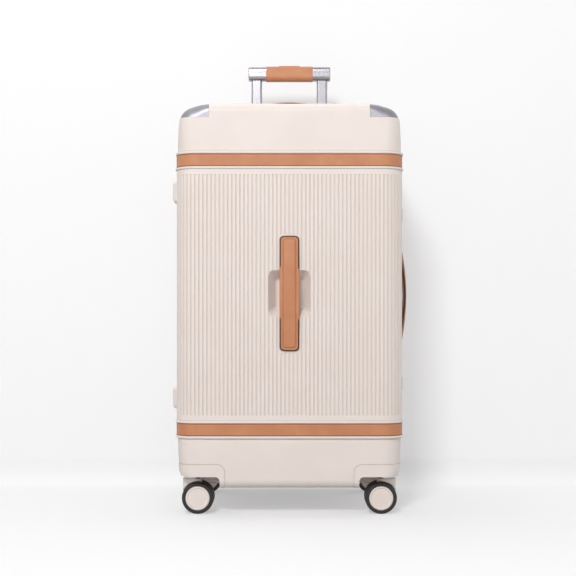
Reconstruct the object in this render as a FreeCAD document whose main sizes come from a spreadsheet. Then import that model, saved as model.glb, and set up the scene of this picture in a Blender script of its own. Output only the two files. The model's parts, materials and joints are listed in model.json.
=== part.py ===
"""A ribbed trunk suitcase on four swivel casters, as a parametric document in millimetres.

+Z is up, the lid faces -Y, and the origin lies on the floor under the middle of the case.
"""
import FreeCAD, Part
import math
import operator
import os
from types import SimpleNamespace
import Sketcher
from FreeCAD import Placement, Rotation, Vector

# Driving dimensions: name, value in millimetres (or degrees, or a count) and what it is.
SIZES = [
    ("skin_half_width", 204.2, "half width of the smooth skin between the two bands"),
    ("skin_end_half_width", 199.2, "half width that the tapered ends aim at, at top and bottom"),
    ("skin_bottom", 50.0, "underside of the case above the floor"),
    ("skin_top", 747.0, "top of the case above the floor"),
    ("skin_front", -169.0, "front of the smooth skin"),
    ("skin_back", 177.0, "back of the smooth skin"),
    ("corner_round", 40.0, "radius of the lower corners in the front view"),
    ("top_corner_round", 30.0, "radius of the upper corners in the front view"),
    ("shoulder_run", 56.0, "length over which the top falls off to an upper corner"),
    ("shoulder_drop", 14.0, "how far the top falls off there"),
    ("side_round", 34.0, "rounding of the upright edges"),
    ("shoulder_rim", 24.0, "rounding of the front and back edges at an upper corner"),
    ("rim_round", 16.0, "rounding of the top and bottom edges"),
    ("wall", 3.0, "wall of the moulded shells"),
    ("belt_proud", 2.0, "how far the ribbed belt stands out of the smooth skin"),
    ("lower_band", 156.3, "middle of the lower band above the floor"),
    ("upper_band", 642.6, "middle of the upper band above the floor"),
    ("band_width", 22.8, "width of a leather band"),
    ("band_proud", 0.4, "how far a band stands out of the belt"),
    ("bead_width", 4.5, "width of the raised bead along a band"),
    ("bead_proud", 2.2, "how far a bead stands out of the belt"),
    ("bead_round", 1.9, "rounding of a bead"),
    ("rib_pitch", 7.4, "distance between grooves"),
    ("rib_radius", 1.35, "radius of a groove's section"),
    ("rib_depth", 1.2, "depth of a groove"),
    ("rib_ramp", 1.4, "length of the slope in which a groove runs out"),
    ("rib_bottom", 182.0, "lower end of the grooves"),
    ("rib_top", 617.0, "upper end of the grooves"),
    ("rib_turn", 57.0, "angle up to which the grooves follow a corner, in degrees"),
    ("rib_margin", 2.5, "smooth margin round the front handle"),
    ("part_line", -71.0, "plane where lid and body meet"),
    ("part_gap", 0.5, "gap between the two frames"),
    ("frame_depth", 8.0, "depth of each aluminium frame"),
    ("frame_proud", 0.6, "how far the frames stand out of the belt"),
    ("frame_lip", 8.0, "how far the frames reach inside the smooth skin"),
    ("seal_width", 3.0, "width of the rubber seal"),
    ("seal_depth", 1.8, "thickness of the rubber seal"),
    ("seal_inset", 2.5, "distance of the seal inside the smooth skin"),
    ("lining_gap", 0.3, "gap between the lining and what it covers"),
    ("lining_thick", 1.3, "thickness of the lining"),
    ("cap_thick", 0.9, "thickness of a metal corner cap"),
    ("cap_sink", 0.9, "how far a corner cap lies below the skin"),
    ("cap_inner", 145.0, "inner edge of a corner cap from the middle"),
    ("cap_drop", 27.0, "height of a corner cap below the top"),
    ("cap_reach", 63.0, "how far a corner cap reaches from the front or back"),
    ("handle_length", 208.0, "length of a leather handle"),
    ("handle_width", 35.5, "width of a leather handle"),
    ("handle_thick", 5.0, "thickness of a leather handle"),
    ("handle_pad", 36.0, "length of a handle's seated end"),
    ("handle_round", 10.0, "corner radius of a handle's end"),
    ("handle_height", 402.0, "middle of the front and side handles above the floor"),
    ("front_crest", 10.2, "crest of the front handle over the belt"),
    ("side_crest", 17.0, "crest of the side handle over the belt"),
    ("top_crest", 23.0, "crest of the top handle over the top"),
    ("carry_line", -42.0, "middle of the top and side handles, front to back"),
    ("stem_width", 16.0, "width of a handle's guide stem"),
    ("stem_thick", 5.0, "thickness of a guide stem"),
    ("stem_depth", 14.0, "length of a guide stem below the strap"),
    ("slide_gap", 0.3, "clearance of a sliding piece in its slot"),
    ("scoop_width", 77.5, "width of the finger scoop"),
    ("scoop_height", 84.0, "height of the finger scoop"),
    ("scoop_corner", 11.0, "corner radius of the scoop's mouth"),
    ("scoop_floor_width", 49.0, "width of the scoop's floor"),
    ("scoop_floor_height", 57.0, "height of the scoop's floor"),
    ("scoop_floor_corner", 8.0, "corner radius of the scoop's floor"),
    ("scoop_floor_round", 6.0, "rounding between the scoop's floor and its walls"),
    ("scoop_depth", 24.0, "depth of the finger scoop"),
    ("foot_size", 42.0, "side of a square side foot"),
    ("foot_proud", 17.0, "how far a side foot stands out of the belt"),
    ("foot_round", 7.0, "rounding of a side foot"),
    ("foot_low", 206.0, "middle of the lower side feet above the floor"),
    ("foot_high", 600.0, "middle of the upper side feet above the floor"),
    ("foot_gap", 3.0, "gap between the hinge leaves and the front pair of side feet"),
    ("foot_back", 118.0, "middle of the back pair of side feet"),
    ("knuckle_radius", 2.7, "radius of a hinge knuckle"),
    ("knuckle_gap", 0.3, "gap between hinge knuckles and round them"),
    ("hinge_height", 16.0, "height of one hinge"),
    ("leaf_thick", 1.2, "thickness of a hinge leaf"),
    ("leaf_length", 22.0, "length of a hinge leaf from the pin"),
    ("pin_radius", 1.2, "radius of hinge and latch pins"),
    ("fit_gap", 0.05, "radial clearance of a running fit"),
    ("latch_height", 38.0, "height of a latch's base plate"),
    ("lever_height", 28.0, "height of a latch lever"),
    ("lever_thick", 2.6, "thickness of a latch lever"),
    ("lever_round", 7.5, "rounding of a latch lever's tip"),
    ("lever_reach", 42.0, "length of a latch lever from its pin"),
    ("latch_pin_line", -49.0, "latch pin, front to back"),
    ("latch_base_thick", 1.6, "thickness of a latch's base plate"),
    ("keeper_length", 11.0, "length of the keeper under a latch lever"),
    ("lock_gap", 3.0, "gap between the combination lock and the upper latch"),
    ("lock_height", 30.0, "height of the combination lock"),
    ("lock_width", 18.0, "width of the combination lock"),
    ("lock_proud", 4.0, "how far the lock case stands out of the belt"),
    ("lock_edge", 1.0, "rounding of the lock case"),
    ("dial_radius", 4.0, "radius of a lock dial"),
    ("dial_thick", 5.0, "thickness of a lock dial"),
    ("dial_pitch", 8.0, "distance between lock dials"),
    ("dial_count", 3, "number of lock dials"),
    ("dial_pin_radius", 0.8, "radius of the pin through the lock dials"),
    ("dial_rise", 1.4, "height of the dial pin over the belt"),
    ("wheel_radius", 29.0, "radius of a caster wheel"),
    ("wheel_width", 17.0, "width of one wheel of a pair"),
    ("wheel_space", 10.0, "space between the two wheels of a pair"),
    ("hub_radius", 22.0, "radius of a wheel's hub"),
    ("hub_dish", 1.6, "depth of the dish in a hub's face"),
    ("hub_cover", 2.0, "thickness of a hub over its axle"),
    ("tyre_round", 4.0, "rounding of the tyre's edges"),
    ("axle_radius", 3.0, "radius of a wheel axle"),
    ("caster_x", 178.6, "swivel axis from the middle"),
    ("caster_inset", 48.0, "swivel axis behind the belt's front"),
    ("caster_trail", 11.0, "how far the axle trails the swivel axis"),
    ("turret_radius", 17.5, "radius of the caster's turret"),
    ("turret_bottom", 38.0, "underside of the turret above the floor"),
    ("turret_top", 63.5, "top of the turret above the floor"),
    ("web_thick", 9.0, "thickness of the fork between the wheels"),
    ("web_reach", 14.0, "half length of the fork's web under the turret"),
    ("boss_reach", 9.0, "how far the fork reaches round the axle"),
    ("wheel_gap", 1.5, "clearance of the fork round a wheel"),
    ("race_radius", 15.0, "radius of the swivel's bearing plate"),
    ("race_gap", 0.5, "gap between turret and bearing plate"),
    ("king_radius", 3.0, "radius of the swivel pin"),
    ("king_depth", 11.0, "length of the swivel pin inside the turret"),
    ("guard_inner", 117.0, "inner edge of a caster guard from the middle"),
    ("guard_top", 93.0, "top of a caster guard above the floor"),
    ("guard_round", 13.0, "rounding of a caster guard's upper inner corner"),
    ("guard_seam", 0.8, "width and depth of the seam round a caster guard"),
    ("guard_proud", 0.8, "how far a caster guard stands out of the skin"),
    ("guard_wall", 3.0, "wall of a caster guard behind the wheels"),
    ("well_inner", 126.0, "inner wall of the wheel well from the middle"),
    ("well_top", 71.0, "ceiling of the wheel well above the floor"),
    ("well_depth", 87.5, "depth of the wheel well behind the belt's front"),
    ("well_round", 8.0, "rounding of the wheel well's inner top corner"),
    ("trolley_line", 147.0, "middle of the trolley, front to back"),
    ("post_x", 68.0, "trolley post from the middle"),
    ("post_width", 22.0, "width of an inner trolley post"),
    ("post_depth", 12.0, "depth of an inner trolley post"),
    ("post_round", 4.0, "rounding of an inner trolley post"),
    ("post_wall", 1.3, "wall of a trolley tube"),
    ("post_gap", 0.4, "clearance between trolley tubes"),
    ("post_bottom", 600.0, "lower end of the inner posts as extended here"),
    ("middle_bottom", 440.0, "lower end of the middle tubes"),
    ("outer_bottom", 424.0, "lower end of the outer tubes"),
    ("anchor_height", 12.0, "height of the bracket under the outer tubes"),
    ("grip_bottom", 853.5, "underside of the grip as extended here"),
    ("grip_height", 28.4, "height of the grip"),
    ("grip_width", 170.0, "width of the grip"),
    ("grip_depth", 24.0, "depth of the grip"),
    ("grip_round", 8.0, "rounding of the grip"),
    ("grip_end_round", 2.0, "rounding of the grip's ends"),
    ("grip_wall", 4.0, "wall of the hollow grip"),
    ("grip_seam", 16.0, "height of the seam round the grip above its underside"),
    ("seam_size", 0.6, "width and depth of that seam"),
    ("sleeve_width", 96.0, "width of the leather sleeve on the grip"),
    ("sleeve_thick", 1.0, "thickness of the leather sleeve"),
    ("button_width", 43.0, "width of the release button"),
    ("button_depth", 12.0, "depth of the release button"),
    ("button_rise", 1.4, "how far the button stands out of the sleeve"),
    ("button_round", 1.3, "rounding of the button's top"),
    ("yoke_thick", 4.0, "thickness of the release yoke"),
    ("yoke_drop", 5.0, "space for the yoke over the grip's inner floor"),
    ("rod_radius", 2.0, "radius of a release rod"),
    ("rod_bottom", 612.0, "lower end of the release rods"),
    ("tray_wall", 2.0, "wall of the tray that the grip sinks into"),
    ("tray_depth", 31.0, "depth of the tray below the top"),
    ("tray_lip", 4.0, "width of the tray's lip"),
    ("tray_lip_thick", 1.2, "thickness of the tray's lip"),
    ("tray_gap", 1.5, "clearance of the grip in its tray"),
    ("strap_width", 30.0, "width of a packing strap"),
    ("strap_thick", 1.5, "thickness of a packing strap"),
    ("strap_x", 95.0, "packing strap from the middle"),
]

OPERATORS = {"+": operator.add, "-": operator.sub, "*": operator.mul, "/": operator.truediv}


class Size:
    """A length together with the sheet formula that gives it."""

    def __init__(self, value, formula):
        self.value = value
        self.formula = formula

    def join(self, sign, other, swapped=False):
        first, second = self, as_size(other)
        if swapped:
            first, second = second, first
        value = OPERATORS[sign](first.value, second.value)
        return Size(value, f"({first.formula} {sign} {second.formula})")

    def __add__(self, other):
        return self.join("+", other)

    def __radd__(self, other):
        return self.join("+", other, swapped=True)

    def __sub__(self, other):
        return self.join("-", other)

    def __rsub__(self, other):
        return self.join("-", other, swapped=True)

    def __mul__(self, other):
        return self.join("*", other)

    def __rmul__(self, other):
        return self.join("*", other, swapped=True)

    def __truediv__(self, other):
        return self.join("/", other)

    def __neg__(self):
        return self.join("*", -1)


def as_size(number):
    return number if isinstance(number, Size) else Size(float(number), repr(float(number)))


doc = FreeCAD.newDocument("suitcase")
sheet = doc.addObject("Spreadsheet::Sheet", "Sizes")
for row, (alias, value, note) in enumerate(SIZES, start=1):
    sheet.set(f"A{row}", alias)
    sheet.set(f"B{row}", str(value))
    sheet.setAlias(f"B{row}", alias)
    sheet.set(f"C{row}", note)
doc.recompute()
d = SimpleNamespace(**{alias: Size(float(sheet.get(alias)), f"Sizes.{alias}") for alias, _, _ in SIZES})

FAR = 600.0    # reach of cutting blocks, past every side of the case
SAME = 1e-6    # two coordinates closer than this are the same
nodes = []


def bind(thing, prop, size):
    """Set a property to a size and keep it tied to the sheet."""
    size = as_size(size)
    if "." not in prop:
        setattr(thing, prop, size.value)
    thing.setExpression(prop, size.formula)


def put(thing, x=0, y=0, z=0, turn=None):
    """Place a thing at x, y, z, tied to the sheet, with an optional fixed turn."""
    spot = [as_size(part) for part in (x, y, z)]
    thing.Placement = Placement(Vector(*(part.value for part in spot)), turn or Rotation())
    for letter, part in zip("xyz", spot):
        bind(thing, f"Placement.Base.{letter}", part)
    return thing


def block(name, x0, x1, y0, y1, z0, z1):
    """A box between two corners."""
    thing = doc.addObject("Part::Box", name)
    for prop, low, high in (("Length", x0, x1), ("Width", y0, y1), ("Height", z0, z1)):
        bind(thing, prop, as_size(high) - low)
    return put(thing, x0, y0, z0)


AXIS_TURNS = {
    "X": Rotation(Vector(0, 1, 0), 90),
    "Y": Rotation(Vector(1, 0, 0), -90),
    "Z": Rotation(),
}


def rod(name, axis, radius, length, x, y, z):
    """A cylinder that starts at x, y, z and runs along +X, +Y or +Z."""
    thing = doc.addObject("Part::Cylinder", name)
    bind(thing, "Radius", radius)
    bind(thing, "Height", length)
    return put(thing, x, y, z, AXIS_TURNS[axis])


def tangent_arc(shared, other, direction, start, end):
    """The arc between start and end that leaves the point they share along a direction."""
    normal = Vector(-direction.y, direction.x, 0)
    chord = other - shared
    reach = chord.Length ** 2 / (2 * normal.dot(chord))
    centre = shared + normal * reach
    first, last = (math.atan2(point.y - centre.y, point.x - centre.x) for point in (start, end))
    if last < first:
        last += 2 * math.pi
    return Part.ArcOfCircle(Part.Circle(centre, Vector(0, 0, 1), abs(reach)), first, last)


def outline_sketch(body, name, plane, points, bends):
    """A closed outline whose corners are tied to the sheet.

    bends names the sides that are arcs, each with the straight side that it runs on from.
    """
    sketch = body.newObject("Sketcher::SketchObject", name)
    support = [item for item in body.Origin.OriginFeatures if item.Role == plane][0]
    sketch.AttachmentSupport = [(support, "")]
    sketch.MapMode = "FlatFace"
    corners = [(as_size(u), as_size(v)) for u, v in points]
    spots = [Vector(u.value, v.value, 0) for u, v in corners]
    following = {index: (index + 1) % len(spots) for index in range(len(spots))}
    for index, start in enumerate(spots):
        end = spots[following[index]]
        side = Part.LineSegment(start, end)
        if index in bends:
            straight = bends[index]
            direction = (spots[following[straight]] - spots[straight]).normalize()
            shared, other = (end, start) if straight == following[index] else (start, end)
            side = tangent_arc(shared, other, direction, start, end)
        sketch.addGeometry(side, False)
    for index, after in following.items():
        smooth = bends.get(index) == after or bends.get(after) == index
        kind = "Tangent" if smooth else "Coincident"
        sketch.addConstraint(Sketcher.Constraint(kind, index, 2, after, 1))
    for index, corner in enumerate(corners):
        for kind, size in zip(("DistanceX", "DistanceY"), corner):
            number = sketch.addConstraint(Sketcher.Constraint(kind, -1, 1, index, 1, size.value))
            sketch.setExpression(f"Constraints[{number}]", size.formula)
    return sketch


NO_BENDS = {}


def prism(name, plane, points, start, length, bends=NO_BENDS):
    """An outline drawn on a plane and padded along that plane's positive axis."""
    body = doc.addObject("PartDesign::Body", name)
    sketch = outline_sketch(body, name + "_sketch", plane, points, bends)
    pad = body.newObject("PartDesign::Pad", name + "_pad")
    pad.Profile = sketch
    pad.Reversed = plane == "XZ_Plane"
    bind(pad, "Length", length)
    spot = {"XY_Plane": (0, 0, start), "XZ_Plane": (0, start, 0), "YZ_Plane": (start, 0, 0)}[plane]
    return put(body, *spot)


def turned(name, points, x, y, z):
    """A profile of (radius, distance along Y) revolved about an axle along Y."""
    body = doc.addObject("PartDesign::Body", name)
    sketch = outline_sketch(body, name + "_sketch", "XY_Plane", points, NO_BENDS)
    turn = body.newObject("PartDesign::Revolution", name + "_turn")
    turn.Profile = sketch
    turn.ReferenceAxis = (sketch, ["V_Axis"])
    turn.Angle = 360
    return put(body, x, y, z)


def cut(name, base, *tools):
    thing = doc.addObject("Part::Cut", name)
    thing.Base = base
    thing.Tool = tools[0] if len(tools) == 1 else fuse(name + "_tools", *tools)
    return thing


def fuse(name, *shapes):
    thing = doc.addObject("Part::MultiFuse", name)
    thing.Shapes = list(shapes)
    return thing


def common(name, *shapes):
    thing = doc.addObject("Part::MultiCommon", name)
    thing.Shapes = list(shapes)
    return thing


def group(name, *shapes):
    thing = doc.addObject("Part::Compound", name)
    thing.Links = list(shapes)
    return thing


def mirrored(name, source, normal, base=(0, 0, 0)):
    """A mirror image in the plane through base."""
    thing = doc.addObject("Part::Mirroring", name)
    thing.Source = source
    thing.Normal = Vector(*normal)
    thing.Base = Vector(*base)
    return thing


def pair_of(name, right):
    """The right-hand piece together with its mirror image on the left."""
    return group(name, right, mirrored(name + "_left", right, (1, 0, 0)))


def ends_of(edge):
    return edge.valueAt(edge.FirstParameter), edge.valueAt(edge.LastParameter)


def along(edge, letter):
    """True for a straight edge that runs along one axis."""
    first, last = ends_of(edge)
    step = last - first
    others = [abs(getattr(step, other)) for other in "xyz" if other != letter]
    return isinstance(edge.Curve, Part.Line) and max(others) < SAME


def rounded(name, base, radius, pick):
    """Round each edge that pick accepts. pick may give a pair of radii for an edge that tapers."""
    doc.recompute()
    thing = doc.addObject("Part::Fillet", name)
    thing.Base = base
    chosen = []
    for number, edge in enumerate(base.Shape.Edges, start=1):
        answer = pick(edge)
        if answer is True:
            answer = (as_size(radius).value, as_size(radius).value)
        if answer:
            chosen.append((number, answer[0], answer[1]))
    thing.Edges = chosen
    return thing


def node(label, thing):
    """Name a finished sub-part; its label names its file."""
    thing.Label = label
    nodes.append(thing)
    return thing


belt_half = d.skin_half_width + d.belt_proud
belt_front = d.skin_front - d.belt_proud
belt_back = d.skin_back + d.belt_proud
middle_y = (belt_front + belt_back) / 2
shell_lid_end = d.part_line - d.part_gap / 2 - d.frame_depth
shell_body_end = d.part_line + d.part_gap / 2 + d.frame_depth
forms = {}


def case_form(name, grow):
    """The whole closed case with its skin moved out by grow, or in where grow is negative.

    Above and below the bands the sides draw in along an arc that runs on from the straight part,
    and the top falls off to both upper corners in the same way.
    The front and back rims are rounded with a radius that changes towards each corner,
    from the wide rounding of the upright edges to the tighter one of top and bottom.
    """
    if name in forms:
        return forms[name]
    grow = as_size(grow)
    low, high = d.skin_bottom - grow, d.skin_top + grow
    wide, end = d.skin_half_width + grow, d.skin_end_half_width + grow
    shoulder = high - d.shoulder_drop
    top_end = end - d.shoulder_run
    right = [(end, low), (wide, d.lower_band), (wide, d.upper_band), (end, shoulder), (top_end, high)]
    left = [(-u, v) for u, v in reversed(right)]
    front, back = d.skin_front - grow, d.skin_back + grow
    arcs = {0: 1, 2: 1, 3: 4, 5: 4, 6: 7, 8: 7}
    blank = prism(name + "_blank", "XZ_Plane", right + left, front, back - front, arcs)
    levels = (low.value, high.value)

    def is_corner_at(level):
        return lambda edge: along(edge, "y") and abs(ends_of(edge)[0].z - level.value) < SAME

    footed = rounded(name + "_footed", blank, d.corner_round + grow, is_corner_at(low))
    cornered = rounded(name + "_cornered", footed, d.top_corner_round + grow, is_corner_at(shoulder))
    side_radius = (d.side_round + grow).value
    shoulder_radius = (d.shoulder_rim + grow).value
    rim_radius = (d.rim_round + grow).value
    middle = (levels[0] + levels[1]) / 2

    def radius_at(point):
        if min(abs(point.z - level) for level in levels) < SAME:
            return rim_radius
        return shoulder_radius if point.z > d.upper_band.value + SAME else side_radius

    def rim_radii(edge):
        first, last = ends_of(edge)
        if abs(first.y - last.y) > SAME:
            return None
        turn = first.x * (last.z - middle) - (first.z - middle) * last.x
        radii = (radius_at(first), radius_at(last))
        return radii if turn > 0 else radii[::-1]

    forms[name] = rounded(name, cornered, side_radius, rim_radii)
    return forms[name]


def slab_y(name, low, high):
    return block(name, -FAR, FAR, low, high, -FAR, 2 * FAR)


def slab_z(name, low, high):
    return block(name, -FAR, FAR, -FAR, FAR, low, high)


def ring(name, outer, inner, low, high):
    """The skin between two forms, between two levels along Y."""
    slab = slab_y(name + "_slab", low, high)
    return cut(name, common(name + "_outside", outer, slab), common(name + "_inside", inner, slab))


def lies_level(edge):
    """True for an edge whose ends are at one height."""
    first, last = ends_of(edge)
    return abs(first.z - last.z) < SAME


# The outer skin: smooth ends, the ribbed belt standing proud, and a bead along each band edge.
skin = case_form("skin_form", 0)
belt = case_form("belt_form", d.belt_proud)
bead_form = case_form("bead_form", d.belt_proud + d.bead_proud)
inside = case_form("inside_form", -d.wall)
bands = {"lower": d.lower_band, "upper": d.upper_band}
beads = []
for band_name, band_z in bands.items():
    for side_name, inner_edge in (("under", -d.band_width / 2 - d.bead_width), ("over", d.band_width / 2)):
        bead_low = band_z + inner_edge
        bead_slab = slab_z(f"{band_name}_{side_name}_bead_slab", bead_low, bead_low + d.bead_width)
        bead = common(f"{band_name}_{side_name}_bead", bead_form, bead_slab)
        beads.append(rounded(f"{band_name}_{side_name}_bead_round", bead, d.bead_round, lies_level))
belt_slab = slab_z("belt_slab", d.lower_band + d.band_width / 2, d.upper_band - d.band_width / 2)
outer_skin = fuse("outer_skin", skin, common("belt", belt, belt_slab), *beads)

lid_slab = slab_y("lid_slab", -FAR, shell_lid_end)
body_slab = slab_y("body_slab", shell_body_end, FAR)


full_span = [(d.rib_bottom.value, d.rib_top.value)]


def groove_spans(across):
    """The stretches of height that a groove on the lid covers, with none under the handle."""
    if abs(across) > (d.handle_width / 2 + d.rib_margin).value:
        return full_span
    middle, keep_off = d.handle_height.value, (d.handle_length / 2 + d.rib_margin).value
    return [(d.rib_bottom.value, middle - keep_off), (middle + keep_off, d.rib_top.value)]


def groove_cutter(low, high):
    """A cutter on the Z axis for one groove that runs out in a slope at both ends, seen from +Y."""
    radius, depth, ramp = d.rib_radius.value, d.rib_depth.value, d.rib_ramp.value
    flare = ramp * (2 * radius - depth) / depth
    rod_length = high - low + 2 * flare
    round_rod = Part.makeCylinder(radius, rod_length, Vector(0, 0, low - flare))
    corners = [(-radius, low + ramp), (-radius, high - ramp), (radius, high + flare), (radius, low - flare)]
    outline = Part.makePolygon([Vector(-radius, y, z) for y, z in corners + corners[:1]])
    wedge = Part.Face(outline).extrude(Vector(2 * radius, 0, 0))
    return round_rod.common(wedge)


def grooves(name, face_y, outward, spans_at):
    """All groove cutters of one face: along its flat run, then round both upright edges."""
    corner_radius = (d.side_round + d.belt_proud).value
    flat_half = belt_half.value - corner_radius
    stand_off = d.rib_radius.value - d.rib_depth.value
    templates = {}
    reach = flat_half + math.radians(d.rib_turn.value) * corner_radius
    count = int(reach / d.rib_pitch.value)
    cutters = []
    for index in range(-count, count + 1):
        travel = index * d.rib_pitch.value
        across = max(-flat_half, min(flat_half, travel))
        angle = (travel - across) / corner_radius
        distance = corner_radius + stand_off
        x = across + distance * math.sin(angle)
        y = face_y + outward * (distance * math.cos(angle) - corner_radius)
        facing = math.degrees(math.atan2(-math.sin(angle), outward * math.cos(angle)))
        for span in spans_at(travel):
            if span not in templates:
                templates[span] = groove_cutter(*span)
            cutter = templates[span].copy()
            cutter.Placement = Placement(Vector(x, y, 0), Rotation(Vector(0, 0, 1), facing))
            cutters.append(cutter)
    thing = doc.addObject("Part::Feature", name)
    thing.Shape = Part.makeCompound(cutters)
    thing.Placement = Placement()
    return thing


lid_grooves = grooves("lid_grooves", belt_front.value, -1, groove_spans)
body_grooves = grooves("body_grooves", belt_back.value, 1, lambda across: full_span)


def round_rectangle(width, height, radius, y):
    """A rectangle with round corners in the plane at y, round the middle of the front handle."""
    half, tall, bend = width.value / 2, height.value / 2, radius.value
    middle = Vector(0, y.value, d.handle_height.value)
    edges = []
    for sx, sz in ((1, 1), (-1, 1), (-1, -1), (1, -1)):
        centre = middle + Vector(sx * (half - bend), 0, sz * (tall - bend))
        across, upward = Vector(sx * bend, 0, 0), Vector(0, 0, sz * bend)
        first, last = (across, upward) if sx * sz > 0 else (upward, across)
        halfway = (across + upward).normalize() * bend
        corner = Part.Arc(centre + first, centre + halfway, centre + last).toShape()
        if edges:
            edges.append(Part.LineSegment(ends_of(edges[-1])[1], centre + first).toShape())
        edges.append(corner)
    edges.append(Part.LineSegment(ends_of(edges[-1])[1], ends_of(edges[0])[0]).toShape())
    return Part.Wire(edges)


def scoop_form(name, grow):
    """The finger scoop as a tapered block, with its sides and floor moved out by grow."""
    grow = as_size(grow)
    floor_y = belt_front + d.scoop_depth + grow
    mouth = round_rectangle(d.scoop_width + grow * 2, d.scoop_height + grow * 2, d.scoop_corner + grow,
                            belt_front)
    floor = round_rectangle(d.scoop_floor_width + grow * 2, d.scoop_floor_height + grow * 2,
                            d.scoop_floor_corner + grow, floor_y)
    block_form = Part.makeLoft([mouth, floor], True, True)
    floor_edges = [edge for edge in block_form.Edges
                   if all(abs(point.y - floor_y.value) < SAME for point in ends_of(edge))]
    thing = doc.addObject("Part::Feature", name)
    thing.Shape = block_form.makeFillet((d.scoop_floor_round + grow).value, floor_edges)
    thing.Placement = Placement()
    return thing


scoop = scoop_form("scoop", 0)
cup = common("cup", scoop_form("cup_block", d.wall), skin)

# Caster guards: moulded corners that close the wheel wells.
guard_form = case_form("guard_form", d.guard_proud)
well_back = belt_front + d.well_depth
guard_end = well_back + d.guard_wall


ROUND_INNER_CORNER = {3: 2}    # in the outlines of guard and well, the arc that runs on from the top side


def guard_prism(name, grow):
    """The corner of the lid that a caster guard takes up."""
    inner, high, bend = d.guard_inner - grow, d.guard_top + grow, d.guard_round + grow
    points = [(inner, -FAR), (FAR, -FAR), (FAR, high), (inner + bend, high), (inner, high - bend)]
    return prism(name, "XZ_Plane", points, -FAR, guard_end + grow + FAR, ROUND_INNER_CORNER)


guard_seat = guard_prism("guard_seat", 0)
well_points = [
    (d.well_inner, -FAR), (FAR, -FAR), (FAR, d.well_top),
    (d.well_inner + d.well_round, d.well_top), (d.well_inner, d.well_top - d.well_round),
]
wheel_well = prism("wheel_well", "XZ_Plane", well_points, -FAR, well_back + FAR, ROUND_INNER_CORNER)
caster_y = belt_front + d.caster_inset
race_bottom = d.turret_top + d.race_gap
king_low = d.turret_top - d.king_depth
king_high = (d.well_top + d.guard_top) / 2
king_bore = rod("king_bore", "Z", d.king_radius, king_high - d.well_top, d.caster_x, caster_y, d.well_top)
guard_block = common("guard_block", guard_form, guard_seat)
front_guard = cut("front_guard", guard_block, wheel_well, king_bore)
king_stem = rod("king_stem", "Z", d.king_radius, king_high - king_low, d.caster_x, caster_y, king_low)
king_race = rod("king_race", "Z", d.race_radius, d.well_top - race_bottom, d.caster_x, caster_y, race_bottom)
front_king = fuse("front_king", king_stem, king_race)

MIRROR_Y = (0, 1, 0)
mid_point = (0, middle_y.value, 0)


def to_back(name, piece):
    """The mirror image of a front piece at the back of the case."""
    return mirrored(name, piece, MIRROR_Y, mid_point)


node("front_caster_housings", pair_of("front_guards", front_guard))
node("front_kingpins", pair_of("front_kings", front_king))
node("rear_caster_housings", pair_of("rear_guards", to_back("rear_guard", front_guard)))
node("rear_kingpins", pair_of("rear_kings", to_back("rear_king", front_king)))
seam_floor = case_form("seam_floor", -d.guard_seam)
seam = cut("guard_seam", guard_prism("seam_prism", d.guard_seam), seam_floor)
seat = fuse("seat_and_seam", guard_seat, seam)
front_seats = pair_of("front_seats", seat)
rear_seats = pair_of("rear_seats", to_back("rear_seat", seat))

# Trolley sizes that the shell, tray and tubes share.
tube_step = d.post_wall + d.post_gap
outer_width = d.post_width + tube_step * 4
outer_depth = d.post_depth + tube_step * 4
tray_half = d.grip_width / 2 + d.tray_gap + d.tray_wall
tray_reach = d.grip_depth / 2 + d.sleeve_thick + d.tray_gap + d.tray_wall
tray_bottom = d.skin_top - d.tray_depth - d.tray_wall


def tray_block(name, grow, low, high):
    half, reach = tray_half + grow, tray_reach + grow
    return block(name, -half, half, d.trolley_line - reach, d.trolley_line + reach, low, high)


tray_hole = tray_block("tray_hole", d.slide_gap, tray_bottom - d.slide_gap, FAR * 2)


# Leather handles: a seated pad at each end and an arch between, on guide stems.
def strap(name, crest, turn, x, y, z):
    """A strap drawn in its own frame: X along it, Y across it, Z out of the case."""
    half, thick, pad = d.handle_length.value / 2, d.handle_thick.value, d.handle_pad.value
    crest = crest.value
    wide = d.handle_width.value

    def spot(along_strap, out):
        return Vector(along_strap, -wide / 2, out)

    edges = [
        Part.Arc(spot(-half, thick), spot(0, crest), spot(half, thick)).toShape(),
        Part.LineSegment(spot(half, thick), spot(half, 0)).toShape(),
        Part.LineSegment(spot(half, 0), spot(half - pad, 0)).toShape(),
        Part.Arc(spot(half - pad, 0), spot(0, crest - thick), spot(pad - half, 0)).toShape(),
        Part.LineSegment(spot(pad - half, 0), spot(-half, 0)).toShape(),
        Part.LineSegment(spot(-half, 0), spot(-half, thick)).toShape(),
    ]
    profile = Part.Face(Part.Wire(edges))
    plain = profile.extrude(Vector(0, wide, 0))
    end_edges = [edge for edge in plain.Edges if along(edge, "z")]
    thing = doc.addObject("Part::Feature", name)
    thing.Shape = plain.makeFillet(d.handle_round.value, end_edges)
    return put(thing, x, y, z, turn)


UPRIGHT_FRONT = Rotation(Vector(0, 0, 1), Vector(1, 0, 0), Vector(0, -1, 0), "ZXY")
UPRIGHT_RIGHT = Rotation(Vector(0, 0, 1), Vector(0, 1, 0), Vector(1, 0, 0), "ZXY")
node("front_handle", strap("front_strap", d.front_crest, UPRIGHT_FRONT, 0, belt_front, d.handle_height))
side_strap = strap("side_strap", d.side_crest, UPRIGHT_RIGHT, belt_half, d.carry_line, d.handle_height)
node("side_handle", side_strap)
node("top_handle", strap("top_strap", d.top_crest, Rotation(), 0, d.carry_line, d.skin_top))
stem_out = d.handle_length / 2 - d.handle_pad / 2


def side_stem(name, grow, depth, sign):
    """One guide stem of the side handle, or its slot."""
    middle = d.handle_height + stem_out * sign
    across, thick = d.stem_width / 2 + grow, d.stem_thick / 2 + grow
    return block(name, belt_half - depth, belt_half, d.carry_line - across, d.carry_line + across,
                 middle - thick, middle + thick)


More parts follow.
